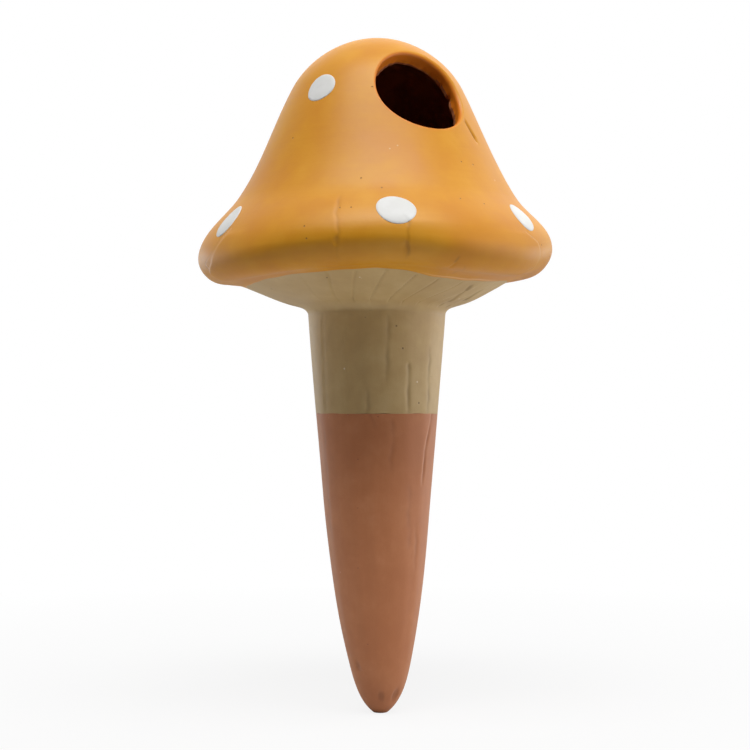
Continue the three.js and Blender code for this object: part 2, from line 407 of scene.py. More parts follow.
class Workshop:
    """The few hand operations that every piece is made with."""

    @staticmethod
    def begin() -> None:
        """Leaves edit mode and deselects everything, CAD nodes too."""
        if bpy.context.object and bpy.context.object.mode != "OBJECT":
            bpy.ops.object.mode_set(mode="OBJECT")
        bpy.ops.object.select_all(action="DESELECT")

    @staticmethod
    def points(piece: bpy.types.Object) -> np.ndarray:
        """Reads a piece's vertices.

        Args:
            piece: The piece.

        Returns:
            The vertices in millimetres.
        """
        flat = np.empty(len(piece.data.vertices) * 3, np.float32)
        piece.data.vertices.foreach_get("co", flat)
        return flat.reshape(-1, 3).astype(float) / MM

    @staticmethod
    def move(piece: bpy.types.Object, points: np.ndarray) -> None:
        """Writes vertices given in millimetres."""
        piece.data.vertices.foreach_set("co", (points * MM).astype(np.float32).ravel())
        piece.data.update()

    @staticmethod
    def outward(piece: bpy.types.Object) -> np.ndarray:
        """Reads a piece's vertex normals.

        Args:
            piece: The piece.

        Returns:
            One unit vector per vertex.
        """
        flat = np.empty(len(piece.data.vertices) * 3, np.float32)
        piece.data.vertex_normals.foreach_get("vector", flat)
        return flat.reshape(-1, 3).astype(float)

    @staticmethod
    def faces(piece: bpy.types.Object, what: str) -> np.ndarray:
        """Reads one vector per face.

        Args:
            piece: The piece.
            what: Which vector, such as center or normal.

        Returns:
            The vectors, in metres where they are places.
        """
        flat = np.empty(len(piece.data.polygons) * 3, np.float32)
        piece.data.polygons.foreach_get(what, flat)
        return flat.reshape(-1, 3)

    @staticmethod
    def record(piece: bpy.types.Object, name: str, values: np.ndarray) -> None:
        """Stores one number per vertex for a finish to read."""
        layer = piece.data.attributes.new(name, "FLOAT", "POINT")
        layer.data.foreach_set("value", values.astype(np.float32))

    @classmethod
    def turned(cls, name: str, section: np.ndarray, steps: int) -> bpy.types.Object:
        """Spins a closed section round the centreline, as on a wheel.

        Args:
            name: Name of the new piece.
            section: Radius and height of the section's corners, in order.
            steps: Steps of the full turn.

        Returns:
            The piece, closed and facing outwards.
        """
        cls.begin()
        bpy.ops.mesh.primitive_circle_add(vertices=len(section), radius=1.0, fill_type="NOTHING")
        piece = bpy.context.object
        piece.name = piece.data.name = name
        cls.move(piece, np.column_stack([section[:, 0], np.zeros(len(section)), section[:, 1]]))
        bpy.ops.object.mode_set(mode="EDIT")
        bpy.ops.mesh.select_all(action="SELECT")
        bpy.ops.mesh.spin(steps=steps, angle=ROUND, center=(0, 0, 0), axis=(0, 0, 1))
        bpy.ops.mesh.select_all(action="SELECT")
        bpy.ops.mesh.remove_doubles(threshold=MERGE)
        bpy.ops.mesh.delete_loose(use_verts=True, use_edges=True, use_faces=False)
        bpy.ops.mesh.select_all(action="SELECT")
        bpy.ops.mesh.normals_make_consistent(inside=False)
        bpy.ops.object.mode_set(mode="OBJECT")
        return piece

    @classmethod
    def respace(cls, piece: bpy.types.Object, marks: Sequence[Place]) -> None:
        """Crowds the steps of a turned piece together where it has fine relief.

        Args:
            piece: Evenly turned piece.
            marks: Turn, half width in degrees and extra density of every place.
        """
        points = cls.points(piece)
        grid = np.linspace(-180.0, 180.0, FINE_TURNS)
        density = np.ones_like(grid)
        for turn, width, extra in marks:
            density += extra * bell(turn_gap(grid, turn), width)
        reach = np.concatenate([[0.0], np.cumsum((density[1:] + density[:-1]) / 2.0)])
        reach = reach / reach[-1] * 360.0 - 180.0
        turns = np.radians(np.interp(turn_of(points), reach, grid))
        radius = radius_of(points)
        cls.move(piece, np.column_stack([radius * np.sin(turns), -radius * np.cos(turns), points[:, 2]]))

    @classmethod
    def work(
        cls, piece: bpy.types.Object, hand: HandShape, lift: np.ndarray, notes: dict[str, np.ndarray]
    ) -> None:
        """Works the relief and the hand's shape into a turned piece.

        Args:
            piece: The turned piece.
            hand: What the hand did to the form.
            lift: How far every vertex moves outwards.
            notes: Numbers per vertex for the finish to read, by name.
        """
        points = cls.points(piece) + cls.outward(piece) * lift[:, None]
        cls.move(piece, hand.apply(points))
        for name, values in notes.items():
            cls.record(piece, name, np.clip(values, 0.0, 1.0))

    @classmethod
    def cut(cls, piece: bpy.types.Object, cutter: bpy.types.Object) -> None:
        """Cuts one closed piece with another.

        Args:
            piece: The piece that stays.
            cutter: The piece that is taken out of it and thrown away.
        """
        cls.begin()
        bpy.context.view_layer.objects.active = piece
        piece.select_set(True)
        knife = piece.modifiers.new("fill_hole", "BOOLEAN")
        knife.operation = "DIFFERENCE"
        knife.solver = "EXACT"
        knife.object = cutter
        bpy.ops.object.modifier_apply(modifier=knife.name)
        bpy.data.objects.remove(cutter)

    @classmethod
    def inside(cls, piece: bpy.types.Object) -> np.ndarray:
        """Finds the inside of a hollow piece: the faces that look more up or inwards.

        Args:
            piece: The hollow piece.

        Returns:
            Whether each face is one of them.
        """
        centres, normals = cls.faces(piece, "center"), cls.faces(piece, "normal")
        spokes = centres[:, :2] / np.maximum(radius_of(centres), TINY)[:, None]
        return np.sum(spokes * normals[:, :2], axis=1) < normals[:, 2]

    @staticmethod
    def coat(
        piece: bpy.types.Object, outer: bpy.types.Material, inner: bpy.types.Material, inside: np.ndarray
    ) -> None:
        """Gives a hollow piece one finish outside and another inside.

        Args:
            piece: The hollow piece.
            outer: Finish of its outside.
            inner: Finish of its inside.
            inside: Whether each face is on the inside.
        """
        piece.data.materials.clear()
        piece.data.materials.append(outer)
        piece.data.materials.append(inner)
        piece.data.polygons.foreach_set("material_index", inside.astype(np.int32))

    @classmethod
    def polish(cls, piece: bpy.types.Object, angle: float = 38.0) -> None:
        """Shades a piece smooth.

        Args:
            piece: The piece.
            angle: Angle in degrees past which an edge stays a crease.
        """
        cls.begin()
        bpy.context.view_layer.objects.active = piece
        piece.select_set(True)
        bpy.ops.object.shade_smooth_by_angle(angle=math.radians(angle))


@dataclass(frozen=True)
class Fold:
    """A crease that runs down the clay: one side stands proud of a fine groove."""

    path: tuple[Span, ...]
    proud: Side = Side.NEITHER
    step: float = 0.0
    reach: float = 5.0
    groove: float = 0.3
    width: float = 0.45
    fade: float = 1.6
    # Strength of the painted highlight along the proud edge, partly abrasion of the paint.
    rub_highlight_strength: float = 0.4
    wander: float = 0.22
    # Strength and spread of the painted shade in the groove.
    dark: float = 0.25
    slow_wave: float = 0.7
    quick_wave: float = 1.9
    quick_share: float = 0.6
    swell_wave: float = 0.8
    swell: float = 0.25
    ease: float = 0.4
    # Spread of the painted highlight along the proud edge.
    rub_highlight_spread: float = 1.2
    dark_spread: float = 0.9

    def mean_turn(self) -> float:
        """Middle of the fold's turns."""
        return float(np.mean([turn for _, turn in self.path]))

    def spread(self) -> float:
        """Half the span of the fold's turns."""
        turns = [turn for _, turn in self.path]
        return (max(turns) - min(turns)) / 2.0

    def across(self, points: np.ndarray) -> tuple[np.ndarray, np.ndarray]:
        """Distance across the fold, to its right, and the fold's strength at every point.

        Args:
            points: Points in millimetres.

        Returns:
            Signed distances in millimetres, and shares from 0 to 1.
        """
        heights, turns = np.array(sorted(self.path)).T
        height = points[:, 2]
        rng = np.random.default_rng(int(abs(turns[0]) * 10.0))
        slow, quick, swell = rng.uniform(0.0, ROUND, 3)
        stray = np.sin(height * self.slow_wave + slow)
        stray = stray + self.quick_share * np.sin(height * self.quick_wave + quick)
        line = np.interp(height, heights, turns)
        gap = np.radians(turn_gap(turn_of(points), line)) * radius_of(points) + self.wander * stray
        ease = self.fade * self.ease
        near = smooth(heights[0] - self.fade, heights[0] + ease, height)
        near = near * smooth(heights[-1] + self.fade, heights[-1] - ease, height)
        return gap, near * (1.0 - self.swell + self.swell * np.sin(height * self.swell_wave + swell))

    def relief(self, points: np.ndarray) -> np.ndarray:
        """Lifts the proud side and sinks the groove.

        Args:
            points: Points in millimetres.

        Returns:
            How far the surface moves outwards at every point.
        """
        gap, near = self.across(points)
        ahead = gap * (self.proud.value or 1)
        rise = self.step * np.exp(-np.maximum(ahead, 0.0) / self.reach)
        rise = rise * smooth(-self.width, self.width, ahead)
        return near * (rise - self.groove * bell(gap, self.width))

    def rub_highlight_share(self, points: np.ndarray) -> np.ndarray:
        """Paints a pale highlight along the proud edge, partly abrasion of the paint.

        Args:
            points: Points in millimetres.

        Returns:
            How strong the painted highlight is at every point.
        """
        gap, near = self.across(points)
        ahead = gap * (self.proud.value or 1)
        return self.rub_highlight_strength * near * bell(ahead - self.width, self.rub_highlight_spread * self.width)

    def painted_shade(self, points: np.ndarray) -> np.ndarray:
        """How much shade is painted dark into the groove."""
        gap, near = self.across(points)
        return self.dark * near * bell(gap, self.dark_spread * self.width)


@dataclass(frozen=True)
class Chip:
    """One small chip with a flat floor: its middle, half its width and its depth."""

    turn: float
    height: float
    size: float
    depth: float
    tall: float = 1.5

    def share(self, points: np.ndarray) -> np.ndarray:
        """1 on the chip's floor and 0 away from it."""
        gap = np.radians(turn_gap(turn_of(points), self.turn)) * radius_of(points)
        return bell(gap**2 + ((points[:, 2] - self.height) / self.tall) ** 2, self.size**2)


@dataclass
class FillHole:
    """The slanted round hole in the crown, rounded over by a thumb where it comes out."""

    outline: Outline
    radius: float = 12.0
    heart: float = 65.2
    turn: float = 28.8
    climb: float = 36.2
    soft_edge: float = 1.15
    sharp_edge: float = 0.4
    soft_clock: float = 25.0
    steps: int = 200
    wall_rings: int = 16
    edge_rings: int = 12
    edge_stop: float = 16.0
    burr: float = 0.6
    search: Span = (2.0, 60.0)
    halvings: int = 48
    wall_rim: Span = (0.9, 0.1)
    wall_from: float = 8.0
    tear: Waves = Waves(21, 0.8, (5, 9, 14, 23, 37))
    tear_depth: Span = (2.2, 4.6)
    torn: tuple[Place, ...] = (
        (100.0, 5.0, 0.9),
        (131.0, 15.0, -1.2),
        (15.0, 4.0, 1.1),
        (4.0, 5.0, -1.1),
    )
    probe: float = 0.6
    wall_run: float = 9.0
    least_round: float = 0.1
    flare: float = 7.0
    start: float = 4.0
    stop: float = 75.0
    blank_radius: float = 10.0

    def middle(self) -> np.ndarray:
        """Where the hole's axis meets the centreline."""
        return np.array([0.0, 0.0, self.heart])

    def frame(self) -> tuple[np.ndarray, np.ndarray, np.ndarray]:
        """Directions of the hole.

        Returns:
            Unit vectors along the hole, to its right and to its top.
        """
        turn, climb = math.radians(self.turn), math.radians(self.climb)
        level = math.cos(climb)
        along = np.array([math.sin(turn) * level, -math.cos(turn) * level, math.sin(climb)])
        right = np.array([math.cos(turn), math.sin(turn), 0.0])
        return along, right, np.cross(right, along) * -1.0

    def spokes(self, clock: np.ndarray) -> np.ndarray:
        """Unit vectors from the hole's axis at angles from its right towards its top, in radians."""
        _, right, top = self.frame()
        return np.cos(clock)[:, None] * right + np.sin(clock)[:, None] * top

    def reach(self, clock: np.ndarray, radius: float) -> np.ndarray:
        """Finds where the hole's wall comes out of the cap.

        Args:
            clock: Angles round the hole in radians.
            radius: Radius of the wall.

        Returns:
            How far along the hole it meets the cap's outside.
        """
        along, _, _ = self.frame()
        skin, _ = self.outline.cap_skin()
        heights, radii = skin[::-1, 1], skin[::-1, 0]
        base = self.middle() + self.spokes(clock) * radius
        near, far = (np.full_like(clock, limit) for limit in self.search)
        for _ in range(self.halvings):
            middle = (near + far) / 2.0
            spot = base + middle[:, None] * along
            inside = radius_of(spot) < np.interp(spot[:, 2], heights, radii, right=-1.0)
            near, far = np.where(inside, middle, near), np.where(inside, far, middle)
        return near

    def wall_share(self, points: np.ndarray) -> np.ndarray:
        """Finds the hole's own wall, where the paint is thinner and redder and is painted brighter as bounce
        light.

        Args:
            points: Points of the finished cap in millimetres.

        Returns:
            1 on the wall and 0 on the rest of the cap.
        """
        along, _, _ = self.frame()
        spoke = points - self.middle()
        height = spoke @ along
        off = np.linalg.norm(spoke - height[:, None] * along, axis=1) - self.radius
        return smooth(*self.wall_rim, off) * (height > self.wall_from)

    def ragged(self, clock: np.ndarray, depth: np.ndarray) -> np.ndarray:
        """Tears the clay along the inner edge: burrs left standing and flakes broken out.

        Args:
            clock: Angles round the hole in radians.
            depth: Depths below the cap's outside.

        Returns:
            How far the wall stands back at every place.
        """
        angle = np.degrees(clock)
        edge = self.tear.at(angle)
        for middle, width, size in self.torn:
            edge = edge + size * bell(turn_gap(angle, middle), width)
        return edge * self.burr * smooth(*self.tear_depth, depth)

    def cutter(self) -> bpy.types.Object:
        """Makes the trumpet that is taken out of the cap, from a blank whose heights number its rings.

        Returns:
            The closed trumpet.
        """
        last = self.wall_rings + self.edge_rings + 3
        side = [[self.blank_radius, float(k)] for k in range(last + 1)]
        section = [[0.0, 0.0], *side, [0.0, float(last)]]
        knife = Workshop.turned("fill_hole_cutter", np.array(section), self.steps)
        coded = Workshop.points(knife)
        ring = np.rint(coded[:, 2]).astype(int)
        clock = np.arctan2(coded[:, 1], coded[:, 0])
        radius, height = self.trumpet(clock, ring)
        radius = np.where(radius_of(coded) < self.blank_radius / 2.0, 0.0, radius)
        along, _, _ = self.frame()
        points = self.middle() + self.spokes(clock) * radius[:, None] + along * height[:, None]
        Workshop.move(knife, points)
        bpy.context.view_layer.objects.active = knife
        bpy.ops.object.mode_set(mode="EDIT")
        bpy.ops.mesh.select_all(action="SELECT")
        bpy.ops.mesh.normals_make_consistent(inside=False)
        bpy.ops.object.mode_set(mode="OBJECT")
        return knife

    def trumpet(self, clock: np.ndarray, ring: np.ndarray) -> tuple[np.ndarray, np.ndarray]:
        """Radius and reach along the hole of every ring: start, wall, rounded edge, and out.

        Args:
            clock: Angle round the hole, from its right towards its top, in radians.
            ring: Number of the ring that a corner belongs to.

        Returns:
            Radii and reaches in millimetres.
        """
        rim = self.reach(clock, self.radius)
        slope = self.reach(clock, self.radius + self.probe) - self.reach(clock, self.radius - self.probe)
        lean = np.arctan2(slope, 2.0 * self.probe)
        softness = 0.5 + 0.5 * np.cos(clock - math.radians(self.soft_clock))
        edge = self.sharp_edge + (self.soft_edge - self.sharp_edge) * softness
        foot = rim - edge * np.tan((math.pi / 2.0 - lean) / 2.0)
        share = np.clip(ring - 1, 0, self.wall_rings - 1) / (self.wall_rings - 1)
        wall_height = foot - self.wall_run * (1.0 - share)
        wall_radius = self.radius + self.ragged(clock, rim - wall_height)
        turned = np.clip(ring - self.wall_rings, 0, self.edge_rings) / self.edge_rings
        full = np.maximum(math.pi / 2.0 - lean - math.radians(self.edge_stop), self.least_round)
        angle = turned * full
        edge_radius = self.radius + edge * (1.0 - np.cos(angle))
        edge_height = foot + edge * np.sin(angle)
        leave_radius = edge_radius + self.flare * np.sin(full)
        leave_height = edge_height + self.flare * np.cos(full)
        last = self.wall_rings + self.edge_rings
        zones = [ring == 0, ring <= self.wall_rings, ring <= last, ring == last + 1]
        start_radius, start_height = np.full_like(clock, self.radius), np.full_like(clock, self.start)
        radius = np.select(zones[:3], [start_radius, wall_radius, edge_radius], leave_radius)
        height = np.select(zones, [start_height, wall_height, edge_height, leave_height], self.stop)
        return radius, height


@dataclass
class Cap:
    """The hollow bell cap: a turned shell with a rolled lip, brim folds and the fill hole."""

    outline: Outline
    hand: HandShape
    hole: FillHole
    node: str = "cap_shell"
    steps: int = 420
    crown_steps: tuple[int, ...] = (34, 40, 40, 40)
    inner_steps: tuple[int, ...] = (8, 8, 8, 8)
    folds: tuple[Fold, ...] = (
        Fold(((51.3, -13.0), (44.7, -11.6), (38.4, -11.9)), Side.LEFT, 0.2, 7.0, 0.1, 0.5, 2.4, 0.2),
        Fold(((46.2, 9.1), (41.1, 9.4), (38.0, 9.2)), Side.RIGHT, 0.22, 7.0, 0.12, 0.45, 1.4, 0.3),
        Fold(((37.5, 25.2), (36.5, 24.6)), Side.LEFT, 0.05, 1.0, 0.2, 0.4, 0.5, 0.4, 0.0, 0.5),
        Fold(((35.5, 28.7), (34.6, 30.4)), Side.LEFT, 0.1, 1.0, 0.06, 0.35, 0.5, 0.7, 0.0),
        Fold(
            ((46.4, -54.5), (43.5, -58.0), (40.2, -62.0), (38.0, -68.5), (36.4, -66.0)),
            Side.RIGHT, 0.34, 5.0, 0.1, 0.5, 1.0, 1.0, 0.06,
        ),
        Fold(
            ((45.3, 55.0), (43.2, 60.6), (39.8, 63.0), (37.4, 63.5), (36.2, 59.0)),
            Side.LEFT, 0.3, 5.0, 0.12, 0.5, 1.0, 0.9, 0.06,
        ),
        Fold(((48.0, 101.0), (38.0, 104.0)), Side.LEFT, 0.2, 6.0, 0.08, 0.5, 2.0),
        Fold(((46.0, 131.0), (37.0, 128.0)), Side.RIGHT, 0.18, 6.0, 0.07, 0.5, 2.0),
        Fold(((50.0, 156.0), (38.5, 158.0)), Side.LEFT, 0.2, 6.0, 0.07, 0.5, 2.0),
        Fold(((45.0, -161.0), (37.0, -163.0)), Side.RIGHT, 0.18, 6.0, 0.07, 0.5, 2.0),
        Fold(((47.0, -133.0), (37.5, -130.0)), Side.LEFT, 0.2, 6.0, 0.08, 0.5, 2.0),
        Fold(((44.0, -104.0), (36.5, -101.0)), Side.RIGHT, 0.18, 6.0, 0.07, 0.5, 2.0),
        Fold(((74.8, 54.6), (70.3, 58.2)), Side.RIGHT, 0.1, 1.2, 0.8, 0.5, 0.4, 0.0, 0.0, 0.8),
        Fold(((78.9, 54.0), (77.9, 54.6)), Side.LEFT, 0.0, 1.0, 0.25, 0.35, 0.3, 0.0, 0.0, 0.6),
    )
    nicks: tuple[Chip, ...] = (
        Chip(-11.8, 41.3, 0.75, 0.16),
        Chip(8.8, 39.5, 0.75, 0.22),
        Chip(128.6, 40.5, 0.8, 0.16),
        Chip(-131.0, 41.0, 0.8, 0.18),
    )
    ripple: Waves = Waves(3, 0.16, (5, 7, 11))
    ripple_height: Span = (56.0, 46.0)
    ripple_reach: Span = (30.0, 42.0)
    lobes: tuple[Place, ...] = (
        (40.0, 27.0, 1.3),
        (-54.0, 22.0, 1.0),
        (-87.0, 13.0, 0.6),
        (118.0, 26.0, 0.8),
        (-120.0, 26.0, 0.8),
        (178.0, 24.0, 0.7),
    )
    lobe_power: int = 4
    lobe_height: float = 38.0
    lobe_tall: float = 4.5
    lobe_reach: Span = (37.5, 44.5)
    # Painted highlight along the lip's lowest edge, partly abrasion of the paint, strongest at the lobes.
    lip_highlight: float = 0.9
    lip_highlight_middle: float = 0.3
    lip_highlight_width: float = 0.55
    lip_highlight_height: Span = (1.5, 0.5)
    crowd: float = 3.0
    crowd_wide: float = 1.0
    crowd_width: float = 1.4
    wide_fold: float = 4.0
    skin_slack: float = 0.4
    inner_slack: float = 0.8
    inner_floor: float = 2.5
    least_step: float = 0.001

    def section(self) -> np.ndarray:
        """Draws the shell's section: outside from the top to the seam, the lap, and the inside back up.

        Returns:
            Radius and height of its corners.
        """
        under = self.outline.underside()
        wall = self.outline.wall
        seam = under.passes(0, self.outline.seam_radius)
        tongue = under.passes(0, self.outline.seam_radius - self.outline.lap)
        run = self.outline.crown_run()
        outside = [stretch.trace(steps)[:-1] for stretch, steps in zip(run, self.crown_steps)]
        inside = [stretch.trace(steps, wall)[::-1] for stretch, steps in zip(run, self.inner_steps)][::-1]
        rows = [
            *outside,
            under.trace(14, 0.0, 0.0, seam),
            under.trace(3, wall / 2.0, seam, tongue),
            under.trace(4, wall, tongue, 0.0)[:-1],
            *inside,
        ]
        points = np.vstack(rows)
        points[:, 0] = np.maximum(points[:, 0], 0.0)
        keep = np.append(True, np.linalg.norm(np.diff(points, axis=0), axis=1) > self.least_step)
        return points[keep]

    def relief(self, points: np.ndarray) -> np.ndarray:
        """Works the brim's lobes, folds and nicks.

        Args:
            points: Points in millimetres.

        Returns:
            How far the outside moves outwards at every point.
        """
        turns, radius, height = turn_of(points), radius_of(points), points[:, 2]
        on_brim = smooth(*self.ripple_height, height) * smooth(*self.ripple_reach, radius)
        lift = self.ripple.at(turns) * on_brim
        on_lip = bell(height - self.lobe_height, self.lobe_tall) * smooth(*self.lobe_reach, radius)
        for middle, width, full in self.lobes:
            lift = lift + full * bell(turn_gap(turns, middle), width, self.lobe_power) * on_lip
        for fold in self.folds:
            lift = lift + fold.relief(points)
        for nick in self.nicks:
            lift = lift - nick.depth * nick.share(points)
        return lift

    def is_outside(self, points: np.ndarray) -> np.ndarray:
        """Finds the outside of the turned shell.

        Args:
            points: Its corners in millimetres.

        Returns:
            Whether each corner lies on the outside.
        """
        run = [*self.outline.crown_run(), self.outline.underside()]
        skin = np.vstack([stretch.trace(400) for stretch in run])
        ring = np.column_stack([radius_of(points), points[:, 2]])
        rows, number = np.unique(np.round(ring, 3), axis=0, return_inverse=True)
        near = np.array([np.min(np.hypot(*(skin - row).T)) < self.skin_slack for row in rows])
        return near[number.ravel()]

    def place(self, turns: np.ndarray, heights: np.ndarray, run: np.ndarray, lift: np.ndarray) -> np.ndarray:
        """Points on the finished cap's outside.

        Args:
            turns: Turns in degrees.
            heights: Height of the outline point that the run starts from.
            run: Distance up the outline from there.
            lift: Distance off the surface.

        Returns:
            Points in millimetres, with the cap's own relief and hand shape.
        """
        skin, outward = self.outline.cap_skin()
        length = np.append(0.0, np.cumsum(np.linalg.norm(np.diff(skin, axis=0), axis=1)))
        start = np.interp(heights, skin[::-1, 1], length[::-1])
        at = start - run
        ring = np.column_stack([np.interp(at, length, skin[:, i]) for i in (0, 1)])
        normal = np.column_stack([np.interp(at, length, outward[:, i]) for i in (0, 1)])
        angle = np.radians(turns)
        spoke = np.column_stack([np.sin(angle), -np.cos(angle), np.zeros_like(angle)])
        up = np.array([0.0, 0.0, 1.0])
        points = spoke * ring[:, :1] + up * ring[:, 1:]
        square = spoke * normal[:, :1] + up * normal[:, 1:]
        points = points + square * (self.relief(points) + lift)[:, None]
        return self.hand.apply(points)

    def lip_rub_highlight(self, points: np.ndarray) -> np.ndarray:
        """Paints a pale highlight along the lip's lowest edge, partly abrasion of the paint, most at the
        lobes.

        Args:
            points: Points of the finished cap in millimetres.

        Returns:
            How strong the painted highlight is at every point.
        """
        turns = turn_of(points)
        past = radius_of(points) - self.hand.seam_radius(turns)
        lobes = np.zeros_like(turns)
        for middle, width, _ in self.lobes:
            lobes += bell(turn_gap(turns, middle), width, self.lobe_power)
        low = smooth(*self.lip_highlight_height, points[:, 2] - self.outline.lip[1])
        return self.lip_highlight * lobes * low * bell(past - self.lip_highlight_middle, self.lip_highlight_width)

    def marks(self, marks: Sequence[Span]) -> np.ndarray:
        """Places on the finished cap of marks given as turn and height."""
        turns, heights = np.array(marks, float).T
        return self.place(turns, heights, np.zeros_like(turns), np.zeros_like(turns))

    def crowding(self) -> list[Place]:
        """Crowds the steps of the turn together at every fold, less at a wide one.

        Returns:
            Turn, half width and extra density of every place.
        """
        marks = []
        for fold in self.folds:
            extra = self.crowd if fold.spread() < self.wide_fold else self.crowd_wide
            marks.append((fold.mean_turn(), self.crowd_width + fold.spread(), extra))
        return marks

    def build(self) -> bpy.types.Object:
        """Turns the shell, works its relief and cuts the fill hole.

        Returns:
            The shell.
        """
        cap = Workshop.turned("cap", self.section(), self.steps)
        Workshop.respace(cap, self.crowding())
        points = Workshop.points(cap)
        lift = np.where(self.is_outside(points), self.relief(points), 0.0)
        Workshop.work(cap, self.hand, lift, {})
        Workshop.cut(cap, self.hole.cutter())
        return cap

    def dress(self, cap: bpy.types.Object, paint: bpy.types.Material, clay: bpy.types.Material) -> None:
        """Paints the outside, leaves the inside bare and notes the painted highlights, partly abrasion, and
        the painted shade.

        Args:
            cap: The shell.
            paint: Finish of its outside.
            clay: Finish of its inside.
        """
        points = Workshop.points(cap)
        # Pale painted highlights, partly abrasion, on the fold edges and the lip; painted shade in the fold
        # grooves.
        rub_highlight = np.max([fold.rub_highlight_share(points) for fold in self.folds] + [self.lip_rub_highlight(points)], axis=0)
        painted_shade = np.max([fold.painted_shade(points) for fold in self.folds], axis=0)
        Workshop.record(cap, "rub_highlight", np.clip(rub_highlight, 0.0, 1.0))
        Workshop.record(cap, "painted_shade", np.clip(painted_shade, 0.0, 1.0))
        # Marks the fill hole's wall for its redder paint and painted bounce light.
        Workshop.record(cap, "thin_bounce_lit", self.hole.wall_share(points))
        inner = np.vstack([s.trace(200, self.outline.wall) for s in self.outline.crown_run()[:3]])[::-1]
        centres = Workshop.faces(cap, "center") / MM
        wall = np.interp(centres[:, 2], inner[:, 1], inner[:, 0], right=-1.0) + self.inner_slack
        inside = (radius_of(centres) < wall) & (centres[:, 2] > self.outline.lip[1] + self.inner_floor)
        Workshop.coat(cap, paint, clay, inside)
        Workshop.polish(cap)
        hand_over(cap, self.node)


